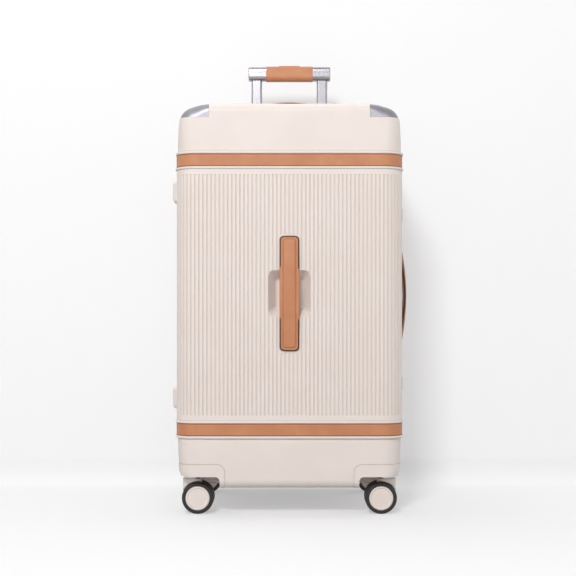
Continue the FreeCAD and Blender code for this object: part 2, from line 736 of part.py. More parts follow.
def top_stem(name, grow, depth, sign):
    """One guide stem of the top handle, or its slot."""
    middle = stem_out * sign
    across, thick = d.stem_width / 2 + grow, d.stem_thick / 2 + grow
    return block(name, middle - thick, middle + thick, d.carry_line - across, d.carry_line + across,
                 d.skin_top - depth, d.skin_top)


stem_slots = []
for maker, label in ((side_stem, "side_handle_stems"), (top_stem, "top_handle_stems")):
    stems = [maker(f"{label}_{sign}", as_size(0), d.stem_depth, sign) for sign in (-1, 1)]
    node(label, group(label + "_pair", *stems))
    stem_slots += [maker(f"{label}_slot_{sign}", d.slide_gap, d.stem_depth, sign) for sign in (-1, 1)]

# On the right, lock and upper latch share the stretch between the handle and the upper band,
# and the lower latch is half way between the handle and the lower band.
handle_top, handle_bottom = d.handle_height + d.handle_length / 2, d.handle_height - d.handle_length / 2
plain_top = d.upper_band - d.band_width / 2 - d.bead_width
plain_bottom = d.lower_band + d.band_width / 2 + d.bead_width
fittings_low = (handle_top + plain_top - d.latch_height - d.lock_gap - d.lock_height) / 2
upper_latch = fittings_low + d.latch_height / 2
lower_latch = (plain_bottom + handle_bottom) / 2

# The combination lock's place in the body's right wall.
lock_front = shell_body_end + d.slide_gap
lock_low = fittings_low + d.latch_height + d.lock_gap
lock_middle, lock_high = lock_low + d.lock_height / 2, lock_low + d.lock_height
dial_x = belt_half + d.dial_rise
dial_y = lock_front + d.lock_width / 2
dial_half = d.dial_radius + d.slide_gap * 2
dial_pocket_end = dial_x - d.dial_radius - d.slide_gap
dial_room = d.dial_pitch * (d.dial_count - 1) / 2 + d.dial_thick / 2 + d.slide_gap
dial_pocket = block("dial_pocket", dial_pocket_end, belt_half, dial_y - dial_half, dial_y + dial_half,
                    lock_middle - dial_room, lock_middle + dial_room)

# Metal corner caps, let into the skin of the upper corners.
cap_low, cap_end = d.skin_top - d.cap_drop, d.skin_front + d.cap_reach
cap_box = block("cap_box", d.cap_inner, FAR, -FAR, cap_end, cap_low, FAR * 2)
cap_face, cap_bed = case_form("cap_face", -d.cap_sink), case_form("cap_bed", -d.cap_sink - d.cap_thick)
front_cap = common("front_cap", cut("cap_sheet", cap_face, cap_bed), cap_box)
node("lid_corner_caps", pair_of("front_caps", front_cap))
node("body_corner_caps", pair_of("back_caps", to_back("back_cap", front_cap)))
cap_seat = cut("cap_seat", cap_box, cap_bed)
front_cap_seats = pair_of("front_cap_seats", cap_seat)
back_cap_seats = pair_of("back_cap_seats", to_back("back_cap_seat", cap_seat))

# The two moulded shells.
lid_raw = cut("lid_raw", common("lid_skin", outer_skin, lid_slab), inside)
lid_cupped = fuse("lid_cupped", lid_raw, cup)
node("lid_shell", cut("lid", lid_cupped, scoop, lid_grooves, front_seats, front_cap_seats))
body_raw = cut("body_raw", common("body_skin", outer_skin, body_slab), inside)
node("body_shell", cut("body", body_raw, body_grooves, rear_seats, back_cap_seats, tray_hole, dial_pocket,
                       *stem_slots))

# Leather bands between their beads.
band_form = case_form("band_form", d.belt_proud + d.band_proud)
band_slabs = []
for band_name, band_z in bands.items():
    band_low = band_z - d.band_width / 2
    band_slabs.append(slab_z(f"{band_name}_band_slab", band_low, band_low + d.band_width))
band_skin = common("band_skin", cut("band_sheet", band_form, skin), fuse("band_slabs", *band_slabs))
node("lid_bands", common("lid_band_pair", band_skin, lid_slab))
node("body_bands", common("body_band_pair", band_skin, body_slab))

# The aluminium frames round the opening, with a rubber seal let into the body's frame.
frame_form = case_form("frame_form", d.belt_proud + d.frame_proud)
frame_inside = case_form("frame_inside", -d.frame_lip)
seal_outer = case_form("seal_outer", -d.seal_inset)
seal_inner = case_form("seal_inner", -d.seal_inset - d.seal_width)
lid_face = d.part_line - d.part_gap / 2
body_face = d.part_line + d.part_gap / 2
node("lid_frame", ring("lid_ring", frame_form, frame_inside, shell_lid_end, lid_face))
seal = ring("seal_ring", seal_outer, seal_inner, body_face, body_face + d.seal_depth)
body_ring = ring("body_ring", frame_form, frame_inside, body_face, shell_body_end)
node("body_frame", cut("body_frame_cut", body_ring, seal))
node("frame_seal", seal)


# Linings: a thin tub inside each shell, stepped over what stands into the case.
def lining(name, slab, bumps):
    """bumps holds pairs: the space a piece takes, and the same space with the lining over it."""
    outer = case_form("lining_outer", -d.wall - d.lining_gap)
    inner = case_form("lining_inner", -d.wall - d.lining_gap - d.lining_thick)
    tub = cut(name + "_tub", common(name + "_outer", outer, slab), inner)
    covers = [common(f"{name}_cover_{index}", cover, outer, slab) for index, (_, cover) in enumerate(bumps)]
    padded = fuse(name + "_padded", tub, *covers)
    return cut(name, padded, *[space for space, _ in bumps])


clear, covered = d.lining_gap, d.lining_gap + d.lining_thick
lid_bumps = [
    (scoop_form("cup_space", d.wall + clear), scoop_form("cup_cover", d.wall + covered)),
    tuple(pair_of(f"front_guard_{word}", guard_prism(f"guard_{word}", grow))
          for word, grow in (("space", clear), ("cover", covered))),
]
node("lid_lining", lining("lid_tub", lid_slab, lid_bumps))
back_panel = d.trolley_line - outer_depth / 2 - clear
body_bumps = [
    tuple(pair_of(f"rear_guard_{word}", to_back(f"{word}_at_back", guard_prism(f"back_{word}", grow)))
          for word, grow in (("space", clear), ("cover", covered))),
    tuple(tray_block(f"tray_{word}", grow, tray_bottom - grow, FAR * 2)
          for word, grow in (("space", clear), ("cover", covered))),
    (slab_y("trolley_space", back_panel, FAR), slab_y("trolley_cover", back_panel - d.lining_thick, FAR)),
]
for maker, word in ((side_stem, "side"), (top_stem, "top")):
    for sign in (-1, 1):
        body_bumps.append(tuple(
            maker(f"{word}_stem_{kind}_{sign}", d.slide_gap + grow, d.stem_depth + grow, sign)
            for kind, grow in (("space", clear), ("cover", covered))))
node("body_lining", lining("body_tub", body_slab, body_bumps))
strap_back = back_panel - d.lining_thick
strap_low = d.guard_top + covered
strap_high = tray_bottom - covered - d.strap_thick
pack_strap = block("pack_strap", d.strap_x - d.strap_width / 2, d.strap_x + d.strap_width / 2,
                   strap_back - d.strap_thick, strap_back, strap_low, strap_high)
node("pack_straps", pair_of("straps", pack_strap))

# Side feet on the left, opposite the side handle.
feet = []
foot_front = d.part_line + d.leaf_length + d.foot_gap + d.foot_size / 2
for foot_z in (d.foot_low, d.foot_high):
    for foot_y in (foot_front, d.foot_back):
        half = d.foot_size / 2
        name = f"foot_{len(feet)}"
        foot = block(name, -belt_half - d.foot_proud, -belt_half, foot_y - half, foot_y + half,
                     foot_z - half, foot_z + half)
        seat_x = -belt_half.value
        feet.append(rounded(name + "_round", foot, d.foot_round,
                            lambda edge: min(point.x for point in ends_of(edge)) < seat_x - 1))
node("side_feet", group("feet", *feet))

# Three knuckle hinges on the left side of the opening.
hinge_x = -(belt_half + d.frame_proud + d.knuckle_gap + d.knuckle_radius)
leaf_face = -(belt_half + d.frame_proud)
knuckle_height = (d.hinge_height - d.knuckle_gap * 2) / 3
leaf_clear = d.knuckle_radius + d.knuckle_gap * 2
body_leaves, lid_leaves, hinge_pins = [], [], []
hinge_levels = (d.foot_low, d.handle_height, d.foot_high)


def leaf(name, sign, level, spans):
    """One hinge leaf: a plate on the frame and shell, with knuckles on the given spans."""
    near = d.part_line + leaf_clear * sign
    far = d.part_line + d.leaf_length * sign
    low, high = (near, far) if sign > 0 else (far, near)
    base = level - d.hinge_height / 2
    top = base + d.hinge_height
    pieces = [block(name + "_plate", leaf_face - d.leaf_thick, leaf_face, low, high, base, top)]
    for index, start in enumerate(spans):
        tag = f"{name}_{index}"
        bottom = base + start
        pieces.append(rod(tag + "_knuckle", "Z", d.knuckle_radius, knuckle_height,
                          hinge_x, d.part_line, bottom))
        web_low, web_high = (d.part_line, near) if sign > 0 else (near, d.part_line)
        pieces.append(block(tag + "_web", leaf_face - d.knuckle_gap - d.leaf_thick, leaf_face - d.knuckle_gap,
                            web_low, web_high, bottom, bottom + knuckle_height))
    bore = rod(name + "_bore", "Z", d.pin_radius + d.fit_gap, d.hinge_height, hinge_x, d.part_line, base)
    return cut(name, fuse(name + "_solid", *pieces), bore)


step = knuckle_height + d.knuckle_gap
for number, level in enumerate(hinge_levels):
    body_leaves.append(leaf(f"body_leaf_{number}", 1, level, (as_size(0), step * 2)))
    lid_leaves.append(leaf(f"lid_leaf_{number}", -1, level, (step,)))
    pin_base = level - d.hinge_height / 2
    hinge_pins.append(rod(f"hinge_pin_{number}", "Z", d.pin_radius, d.hinge_height,
                          hinge_x, d.part_line, pin_base))
node("hinge_body_leaves", group("body_leaf_group", *body_leaves))
node("hinge_lid_leaves", group("lid_leaf_group", *lid_leaves))
node("hinge_pins", group("hinge_pin_group", *hinge_pins))

# Two flip latches on the right: a base with two ears, a pin, a lever and a keeper on the lid.
ear_radius = d.lever_thick / 2 + d.pin_radius
base_top = belt_half + d.frame_proud + d.slide_gap + d.latch_base_thick
lever_low = base_top + d.slide_gap
pin_x = lever_low + ear_radius
base_end = d.latch_pin_line + ear_radius * 2
keeper_top = lever_low - d.slide_gap
latch_bases, latch_pins, keepers = [], [], []
for word, level in (("upper", upper_latch), ("lower", lower_latch)):
    half, lever_half = d.latch_height / 2, d.lever_height / 2
    plate = block(f"{word}_plate", belt_half, base_top, lock_front, base_end, level - half, level + half)
    ear_height = half - lever_half - d.slide_gap
    pieces = [plate]
    for index, bottom in enumerate((level - half, level + half - ear_height)):
        tag = f"{word}_ear_{index}"
        pieces.append(rod(tag, "Z", ear_radius, ear_height, pin_x, d.latch_pin_line, bottom))
        pieces.append(block(tag + "_foot", belt_half, pin_x, d.latch_pin_line - ear_radius,
                            d.latch_pin_line + ear_radius, bottom, bottom + ear_height))
    bore = rod(f"{word}_ear_bore", "Z", d.pin_radius, d.latch_height, pin_x, d.latch_pin_line, level - half)
    latch_bases.append(cut(f"{word}_base", fuse(f"{word}_base_solid", *pieces), bore))
    latch_pins.append(rod(f"{word}_pin", "Z", d.pin_radius, d.latch_height,
                          pin_x, d.latch_pin_line, level - half))
    lever_base = level - lever_half
    barrel = rod(f"{word}_barrel", "Z", ear_radius, d.lever_height, pin_x, d.latch_pin_line, lever_base)
    arm = block(f"{word}_arm", lever_low, lever_low + d.lever_thick, d.latch_pin_line - d.lever_reach,
                d.latch_pin_line, lever_base, level + lever_half)
    eye = rod(f"{word}_eye", "Z", d.pin_radius + d.fit_gap, d.lever_height, pin_x, d.latch_pin_line,
              lever_base)
    lever_tip = (d.latch_pin_line - d.lever_reach).value
    shaped = rounded(f"{word}_arm_round", arm, d.lever_round,
                     lambda edge: along(edge, "x") and abs(ends_of(edge)[0].y - lever_tip) < SAME)
    node(f"{word}_latch_lever", cut(f"{word}_lever", fuse(f"{word}_lever_solid", barrel, shaped), eye))
    keeper_end = shell_lid_end - d.slide_gap
    keepers.append(block(f"{word}_keeper", belt_half, keeper_top, keeper_end - d.keeper_length, keeper_end,
                         level - lever_half / 2, level + lever_half / 2))
node("latch_bases", group("latch_base_pair", *latch_bases))
node("latch_pins", group("latch_pin_pair", *latch_pins))
node("latch_keepers", group("keeper_pair", *keepers))

# The combination lock: a case with a slot for each dial, a pin and the dials.
lock_block = block("lock_block", belt_half, belt_half + d.lock_proud, lock_front, lock_front + d.lock_width,
                   lock_low, lock_high)
lock_round = rounded("lock_round", lock_block, d.lock_edge,
                     lambda edge: min(point.x for point in ends_of(edge)) > belt_half.value + 1)
dial_slots = []
dial_middle = (d.dial_count - 1) / 2
for index in range(int(d.dial_count.value)):
    dial_z = lock_middle + (index - dial_middle) * d.dial_pitch - d.dial_thick / 2
    slot_low, slot_high = dial_z - d.slide_gap, dial_z + d.dial_thick + d.slide_gap
    dial_slots.append(block(f"dial_slot_{index}", belt_half, belt_half + d.lock_proud, dial_y - dial_half,
                            dial_y + dial_half, slot_low, slot_high))
    dial_blank = rod(f"dial_blank_{index}", "Z", d.dial_radius, d.dial_thick, dial_x, dial_y, dial_z)
    dial_bore = rod(f"dial_bore_{index}", "Z", d.dial_pin_radius + d.fit_gap, d.dial_thick,
                    dial_x, dial_y, dial_z)
    node(f"lock_dial_{index + 1}", cut(f"dial_{index}", dial_blank, dial_bore))
dial_pin = rod("dial_pin", "Z", d.dial_pin_radius, d.lock_height, dial_x, dial_y, lock_low)
node("lock_case", cut("lock", lock_round, dial_pin, *dial_slots))
node("lock_axle", dial_pin)

# The trolley: a tray, three nested tubes a side, the hollow grip and its release.
tray_top = d.skin_top + d.tray_lip_thick
tray_solid = fuse("tray_solid", tray_block("tray_body", as_size(0), tray_bottom, d.skin_top),
                  tray_block("tray_rim", d.tray_lip, d.skin_top, tray_top))
tray_floor = tray_bottom + d.tray_wall
tray_pocket = tray_block("tray_pocket", -d.tray_wall, tray_floor, FAR * 2)


def upright(name, grow, low, high):
    """The right-hand inner post's rounded section, moved out by grow."""
    half, reach = d.post_width / 2 + grow, d.post_depth / 2 + grow
    bar = block(name + "_bar", d.post_x - half, d.post_x + half, d.trolley_line - reach,
                d.trolley_line + reach, low, high)
    return rounded(name, bar, d.post_round + grow, lambda edge: along(edge, "z"))


def tube(name, grow, low, high):
    bore = upright(name + "_bore", grow - d.post_wall, low, high)
    return cut(name, upright(name + "_outside", grow, low, high), bore)


no_grow = as_size(0)
guide = upright("guide_hole", tube_step + d.post_gap, tray_bottom, tray_floor)
node("trolley_tray", cut("tray", tray_solid, tray_pocket, pair_of("guide_holes", guide)))
outer_tube = tube("outer_tube", tube_step * 2, d.outer_bottom, tray_bottom)
middle_tube = tube("middle_tube", tube_step, d.middle_bottom, tray_floor)
inner_tube = tube("inner_tube", no_grow, d.post_bottom, d.grip_bottom)
node("trolley_outer_tubes", pair_of("outer_tubes", outer_tube))
node("trolley_middle_tubes", pair_of("middle_tubes", middle_tube))
node("trolley_inner_tubes", pair_of("inner_tubes", inner_tube))
anchor_half = d.post_x + outer_width / 2
node("trolley_anchor", block("anchor", -anchor_half, anchor_half, d.trolley_line - outer_depth / 2,
                             d.skin_back - d.wall, d.outer_bottom - d.anchor_height, d.outer_bottom))


def grip_form(name, half, grow):
    """The grip's rounded bar between -half and half, with its section moved out by grow."""
    reach = d.grip_depth / 2 + grow
    bar = block(name + "_bar", -half, half, d.trolley_line - reach, d.trolley_line + reach,
                d.grip_bottom - grow, d.grip_bottom + d.grip_height + grow)
    return rounded(name, bar, d.grip_round + grow, lambda edge: along(edge, "x"))


grip_top = d.grip_bottom + d.grip_height
grip_inner = grip_form("grip_inner", d.grip_width / 2 - d.grip_wall, -d.grip_wall)
yoke_low = d.grip_bottom + d.grip_wall + d.yoke_drop
yoke_high = yoke_low + d.yoke_thick
button_half, button_reach = d.button_width / 2, d.button_depth / 2
button_top = grip_top + d.sleeve_thick + d.button_rise


def button_block(name, grow, high):
    return block(name, -button_half - grow, button_half + grow, d.trolley_line - button_reach - grow,
                 d.trolley_line + button_reach + grow, yoke_high, high)


button_slot = button_block("button_slot", d.slide_gap, FAR * 2)
rod_hole = rod("rod_hole", "Z", d.rod_radius + d.slide_gap, d.grip_wall * 2, d.post_x, d.trolley_line,
               d.grip_bottom - d.grip_wall / 2)
grip_bar = grip_form("grip_outer", d.grip_width / 2, no_grow)
grip_ended = rounded("grip_ended", grip_bar, d.grip_end_round,
                     lambda edge: not along(edge, "x") and
                     abs(abs(ends_of(edge)[0].x) - d.grip_width.value / 2) < SAME)
seam_low = d.grip_bottom + d.grip_seam
seam_core = grip_form("seam_core", d.grip_width / 2 - d.seam_size, -d.seam_size)
grip_seam = cut("grip_seam", slab_z("seam_slab", seam_low, seam_low + d.seam_size), seam_core)
rod_holes = pair_of("rod_holes", rod_hole)
node("trolley_grip", cut("grip", grip_ended, grip_inner, button_slot, grip_seam, rod_holes))
sleeve = grip_form("sleeve_outer", d.sleeve_width / 2, d.sleeve_thick)
sleeve_core = grip_form("sleeve_core", d.grip_width / 2, no_grow)
node("grip_leather", cut("sleeve", sleeve, sleeve_core, button_slot))
button_body = button_block("button_body", no_grow, button_top)
node("release_button", rounded("button", button_body, d.button_round,
                               lambda edge: min(point.z for point in ends_of(edge)) > button_top.value - 1))
yoke_half = d.yoke_thick / 2
yoke_bar = block("yoke_bar", -d.post_x - d.yoke_thick, d.post_x + d.yoke_thick, d.trolley_line - yoke_half,
                 d.trolley_line + yoke_half, yoke_low, yoke_high)
release_rod = rod("release_rod", "Z", d.rod_radius, yoke_high - d.rod_bottom,
                  d.post_x, d.trolley_line, d.rod_bottom)
node("release_yoke", fuse("yoke", yoke_bar, pair_of("release_rods", release_rod)))

# Casters: turret and fork on the swivel pin, two wheels on a live axle.
axle_x = d.caster_x - d.caster_trail
axle_z = d.wheel_radius
web_half = d.web_thick / 2
wheel_low = d.wheel_space / 2
wheel_high = wheel_low + d.wheel_width
turret = rod("turret", "Z", d.turret_radius, d.turret_top - d.turret_bottom,
             d.caster_x, caster_y, d.turret_bottom)
web_points = [
    (axle_x - d.boss_reach / 2, axle_z - d.boss_reach), (axle_x + d.boss_reach / 2, axle_z - d.boss_reach),
    (d.caster_x + d.web_reach, d.turret_bottom + d.caster_trail / 2),
    (d.caster_x + d.web_reach, d.turret_top), (d.caster_x - d.web_reach, d.turret_top),
    (axle_x - d.boss_reach, axle_z),
]
web = prism("web", "XZ_Plane", web_points, caster_y - web_half, d.web_thick)
room = d.wheel_radius + d.wheel_gap
room_width = d.turret_radius * 2
fork_rooms = [
    rod("wheel_room_back", "Y", room, room_width, axle_x, caster_y + web_half, axle_z),
    rod("wheel_room_front", "Y", room, room_width, axle_x, caster_y - web_half - room_width, axle_z),
]
fork_bores = [
    rod("king_hole", "Z", d.king_radius + d.fit_gap, d.king_depth, d.caster_x, caster_y, king_low),
    rod("axle_hole", "Y", d.axle_radius + d.fit_gap, d.web_thick, axle_x, caster_y - web_half, axle_z),
]
fork = cut("fork", fuse("fork_solid", turret, web), *fork_rooms, *fork_bores)
axle_end = wheel_high - d.hub_dish - d.hub_cover
axle = rod("axle", "Y", d.axle_radius, axle_end * 2, axle_x, caster_y - axle_end, axle_z)
hub_points = [
    (d.axle_radius, wheel_low), (d.hub_radius, wheel_low), (d.hub_radius, wheel_high - d.hub_dish / 2),
    (d.hub_radius - d.hub_dish, wheel_high), (d.hub_radius - d.hub_dish * 2, wheel_high),
    (d.hub_radius - d.hub_dish * 3, wheel_high - d.hub_dish), (0, wheel_high - d.hub_dish),
    (0, axle_end), (d.axle_radius, axle_end),
]
tyre_points = [
    (d.hub_radius, wheel_low), (d.wheel_radius, wheel_low),
    (d.wheel_radius, wheel_high), (d.hub_radius, wheel_high),
]
back_hub = turned("back_hub", hub_points, axle_x, caster_y, axle_z)
tyre_blank = turned("tyre_blank", tyre_points, axle_x, caster_y, axle_z)
tread = d.wheel_radius.value


def on_tread(edge):
    return isinstance(edge.Curve, Part.Circle) and abs(edge.Curve.Radius - tread) < SAME


back_tyre = rounded("back_tyre", tyre_blank, d.tyre_round, on_tread)
caster_point = (0, caster_y.value, 0)


def wheel_pair(name, wheel):
    return group(name, wheel, mirrored(name + "_front", wheel, MIRROR_Y, caster_point))


caster = {
    "fork": fork,
    "axle": axle,
    "hubs": wheel_pair("hub_pair", back_hub),
    "tyres": wheel_pair("tyre_pair", back_tyre),
}
for piece_name, piece in caster.items():
    back_piece = to_back(f"rear_{piece_name}", piece)
    node(f"front_right_{piece_name}", piece)
    node(f"front_left_{piece_name}", mirrored(f"left_{piece_name}", piece, (1, 0, 0)))
    node(f"rear_right_{piece_name}", back_piece)
    node(f"rear_left_{piece_name}", mirrored(f"rear_left_{piece_name}", back_piece, (1, 0, 0)))

doc.recompute()
failed = [thing.Name for thing in doc.Objects if {"Invalid", "Error"} & set(thing.State)]
failed += [thing.Label for thing in nodes if thing.Shape.isNull() or not thing.Shape.isValid()]
if failed:
    raise RuntimeError("failed objects: " + ", ".join(failed))
os.makedirs("parts", exist_ok=True)
for thing in nodes:
    solids = thing.Shape.Solids
    box = thing.Shape.BoundBox
    reach = ", ".join(f"{letter} {getattr(box, letter + 'Min'):.1f} {getattr(box, letter + 'Max'):.1f}"
                      for letter in "XYZ")
    print(f"{thing.Label}: {len(solids)} solids, {thing.Shape.Volume / 1000:.1f} cm3, {reach}")
    thing.Shape.exportStep(f"parts/{thing.Label}.step")
print(len(nodes), "nodes")
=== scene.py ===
# %% [markdown]
# # An ivory spinner suitcase
# The case is a moulded, ribbed trunk with two leather bands, leather handles, metal corner caps,
# a pull-up trolley handle and four twin-wheel casters. The engineering model already holds every
# rigid piece at its true place, so this lesson loads it as a fixed frame, gives each piece its
# finish, and builds what is soft, sewn or printed: the handles, their stitching, the linings, the
# packing straps and the digits of the lock.

# %% Load the frame
import json
import math

import bmesh
import bpy
from mathutils import Matrix, Vector, noise


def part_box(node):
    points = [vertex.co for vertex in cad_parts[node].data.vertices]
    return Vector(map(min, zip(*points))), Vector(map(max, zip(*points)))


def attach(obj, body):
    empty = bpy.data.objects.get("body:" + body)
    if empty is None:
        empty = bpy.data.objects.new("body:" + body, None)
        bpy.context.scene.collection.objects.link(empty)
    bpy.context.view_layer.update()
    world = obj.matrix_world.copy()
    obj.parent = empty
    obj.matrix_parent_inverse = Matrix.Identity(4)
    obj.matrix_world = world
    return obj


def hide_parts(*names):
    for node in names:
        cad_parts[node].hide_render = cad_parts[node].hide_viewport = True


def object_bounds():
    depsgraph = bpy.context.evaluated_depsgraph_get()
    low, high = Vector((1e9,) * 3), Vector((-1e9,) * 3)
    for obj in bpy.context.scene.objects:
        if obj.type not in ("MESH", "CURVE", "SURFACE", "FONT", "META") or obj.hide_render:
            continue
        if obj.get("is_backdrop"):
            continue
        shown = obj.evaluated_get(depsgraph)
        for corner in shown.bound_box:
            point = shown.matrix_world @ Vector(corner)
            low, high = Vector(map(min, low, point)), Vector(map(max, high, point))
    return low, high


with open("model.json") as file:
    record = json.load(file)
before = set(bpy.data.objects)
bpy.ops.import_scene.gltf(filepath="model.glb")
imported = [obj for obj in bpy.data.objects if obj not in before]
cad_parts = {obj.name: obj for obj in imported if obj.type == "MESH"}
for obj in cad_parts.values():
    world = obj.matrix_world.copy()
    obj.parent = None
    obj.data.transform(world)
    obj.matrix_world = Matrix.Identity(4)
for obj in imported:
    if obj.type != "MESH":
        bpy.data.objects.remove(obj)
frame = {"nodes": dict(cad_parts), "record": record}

cad_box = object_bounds()
scene = bpy.context.scene
nodes = frame["nodes"]

# %% [markdown]
# ## Camera
# The photograph is a product view taken square to the front, from about two metres.
# A camera could be turned down at the case, but then its upright edges would lean together.
# Product photographers shift the lens instead, and so does this camera: it looks level along +Y,
# and the frame is slid upwards until the case sits where the picture has it.

# %% Place the camera
MM = 0.001
PHOTO_PIXELS = 576
PIXEL_AT_FRONT = 1.8 * MM
FRONT_DISTANCE = 2.0
EYE_HEIGHT = 0.347
HORIZON_PIXEL = 324.0
MIDDLE_PIXEL = 289.4
SENSOR = 36.0

front_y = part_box("lid_bands")[0].y
camera = bpy.data.objects.new("camera", bpy.data.cameras.new("camera"))
camera.location = (0, front_y - FRONT_DISTANCE, EYE_HEIGHT)
camera.rotation_euler = (math.pi / 2, 0, 0)
camera.data.sensor_width = SENSOR
camera.data.lens = SENSOR * FRONT_DISTANCE / (PHOTO_PIXELS * PIXEL_AT_FRONT)
camera.data.shift_x = (PHOTO_PIXELS / 2 - MIDDLE_PIXEL) / PHOTO_PIXELS
camera.data.shift_y = (HORIZON_PIXEL - PHOTO_PIXELS / 2) / PHOTO_PIXELS
scene.collection.objects.link(camera)
scene.camera = camera
scene.view_settings.view_transform = "Standard"
print("lens", round(camera.data.lens, 2), "mm, camera at", [round(x, 3) for x in camera.location])

# %% [markdown]
# ## Shader helpers
# Every finish below is a small tree of shader nodes. Adding nodes one by one takes many lines,
# so small helpers do it. They start a material, add a node and set or link its inputs, do
# arithmetic, stretch a value from one range to another, mix colours and make soft noise.
# Colours are written as screen values from 0 to 255 and turned into the linear ones that
# shaders work with.

# %% Define the shader helpers
FULL = 255.0
SRGB_OFFSET = 0.055
SRGB_POWER = 2.4


def screen(red, green, blue):
    """A colour read off a screen, as the linear colour that shaders use."""
    shares = [(x / FULL + SRGB_OFFSET) / (1 + SRGB_OFFSET) for x in (red, green, blue)]
    return (*(share ** SRGB_POWER for share in shares), 1.0)


def finish(name, roughness, metallic=0.0, specular=0.5):
    """A new material with its shader's plain values set; returns it, its tree and its shader."""
    made = bpy.data.materials.new(name)
    made.use_nodes = True
    shader = made.node_tree.nodes["Principled BSDF"]
    shader.inputs["Metallic"].default_value = metallic
    shader.inputs["Specular IOR Level"].default_value = specular
    shader.inputs["Roughness"].default_value = roughness
    return made, made.node_tree, shader


def add(tree, kind, inputs, **options):
    """Add a shader node; an input that is given a socket is linked to it, and any other is set."""
    made = tree.nodes.new("ShaderNode" + kind)
    for name, value in options.items():
        setattr(made, name, value)
    for name, value in inputs.items():
        if isinstance(value, bpy.types.NodeSocket):
            tree.links.new(value, made.inputs[name])
        else:
            made.inputs[name].default_value = value
    return made


def calc(tree, operation, first, second=0.0):
    """One step of arithmetic."""
    return add(tree, "Math", {0: first, 1: second}, operation=operation).outputs[0]


def weighed(tree, first, second, share):
    """A value between two others; share is how much of it comes from the second."""
    return calc(tree, "ADD", calc(tree, "MULTIPLY", first, 1 - share), calc(tree, "MULTIPLY", second, share))


def spread(tree, value, low, high, to_low=0.0, to_high=1.0):
    """Stretch a value from one range to another, without passing its ends."""
    sockets = {"Value": value, "From Min": low, "From Max": high, "To Min": to_low, "To Max": to_high}
    return add(tree, "MapRange", sockets).outputs[0]


def mixed(tree, share, first, second):
    """A colour between two others."""
    return add(tree, "Mix", {0: share, 6: first, 7: second}, data_type="RGBA").outputs[2]


def places(tree):
    """Where a surface point lies on the case at rest, in metres."""
    return add(tree, "TexCoord", {}).outputs["Object"]


def cloud(tree, size, detail=2.0):
    """Soft noise whose patches are about size across, in metres."""
    scale = calc(tree, "DIVIDE", 1.0, size)
    return add(tree, "TexNoise", {"Vector": places(tree), "Scale": scale, "Detail": detail}).outputs["Fac"]


print("shader helpers ready")

# %% [markdown]
# ## Studio
# The case stands on a pale sweep: a floor that curves up into a wall close behind it, as a roll of
# paper does in a studio. The near wall catches the soft shadow at the right of the case.
# The photograph's shadows are thin, even under the case. So the paper is greyer than it looks, and
# only the camera and the reflections see some light of its own on it. There is less of that where the
# paper curves up and faces the lamp, so the curve doesn't show as a bright stripe.
# From behind, the wall is see-through by its Backfacing value and casts no shadow, so
# the back of the case can be looked at too. The world gives the fill. It shows as white, but its
# light and its reflections grow dimmer overhead, as under a dark studio ceiling.

# %% Make the studio paper
SWEEP_RADIUS = 60 * MM
WALL_PAPER = screen(202, 202, 203)
FLOOR_PAPER = screen(202, 202, 204)
PAPER_SHADE = screen(192, 191, 190)
PAPER_PATCH = 0.6
PAPER_SPAN = (0.3, 0.7)
PAPER_MOTTLE = 0.03
PAPER_ROUGHNESS = 0.9
PAPER_SPECULAR = 0.1
WALL_LIFT = 0.405
FLOOR_LIFT = 0.395
CURVE_DIP = 0.26
WHITE = (1, 1, 1, 1)


def paper(name, see_through):
    """Pale studio paper; where see_through is set, it is clear from behind."""
    made, tree, shader = finish(name, PAPER_ROUGHNESS, specular=PAPER_SPECULAR)
    height = add(tree, "SeparateXYZ", {0: places(tree)}).outputs["Z"]
    rise = spread(tree, height, 0.0, SWEEP_RADIUS)
    mottle = spread(tree, cloud(tree, PAPER_PATCH), *PAPER_SPAN, 0.0, PAPER_MOTTLE)
    colour = mixed(tree, rise, FLOOR_PAPER, WALL_PAPER)
    tree.links.new(mixed(tree, mottle, colour, PAPER_SHADE), shader.inputs["Base Color"])
    rays = add(tree, "LightPath", {}).outputs
    seen = calc(tree, "MAXIMUM", rays["Is Camera Ray"], rays["Is Glossy Ray"])
    seen = calc(tree, "MAXIMUM", seen, rays["Is Transmission Ray"])
    lift = spread(tree, rise, 0.0, 1.0, FLOOR_LIFT, WALL_LIFT)
    curving = calc(tree, "MULTIPLY", rise, calc(tree, "SUBTRACT", 1.0, rise))
    lift = calc(tree, "SUBTRACT", lift, calc(tree, "MULTIPLY", curving, CURVE_DIP))
    shader.inputs["Emission Color"].default_value = WHITE
    tree.links.new(calc(tree, "MULTIPLY", seen, lift), shader.inputs["Emission Strength"])
    if see_through:
        behind = add(tree, "NewGeometry", {}).outputs["Backfacing"]
        clear = add(tree, "BsdfTransparent", {}).outputs[0]
        both = add(tree, "MixShader", {0: behind, 1: shader.outputs[0], 2: clear})
        tree.links.new(both.outputs[0], tree.nodes["Material Output"].inputs["Surface"])
    return made


print("paper shines by", FLOOR_LIFT, "on the floor and", WALL_LIFT, "on the wall")

# %% Build the sweep and the floor
SWEEP_START = 0.19
SWEEP_TOP = 2.6
SWEEP_HALF = 4.0
SWEEP_STEPS = 16
FLOOR_DROP = 0.5 * MM


def stage_mesh(name, points, faces, material):
    """A piece of the studio, which is not part of the case."""
    mesh = bpy.data.meshes.new(name)
    mesh.from_pydata(points, [], faces)
    mesh.materials.append(material)
    mesh.shade_smooth()
    made = bpy.data.objects.new(name, mesh)
    scene.collection.objects.link(made)
    made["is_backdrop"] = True
    return made


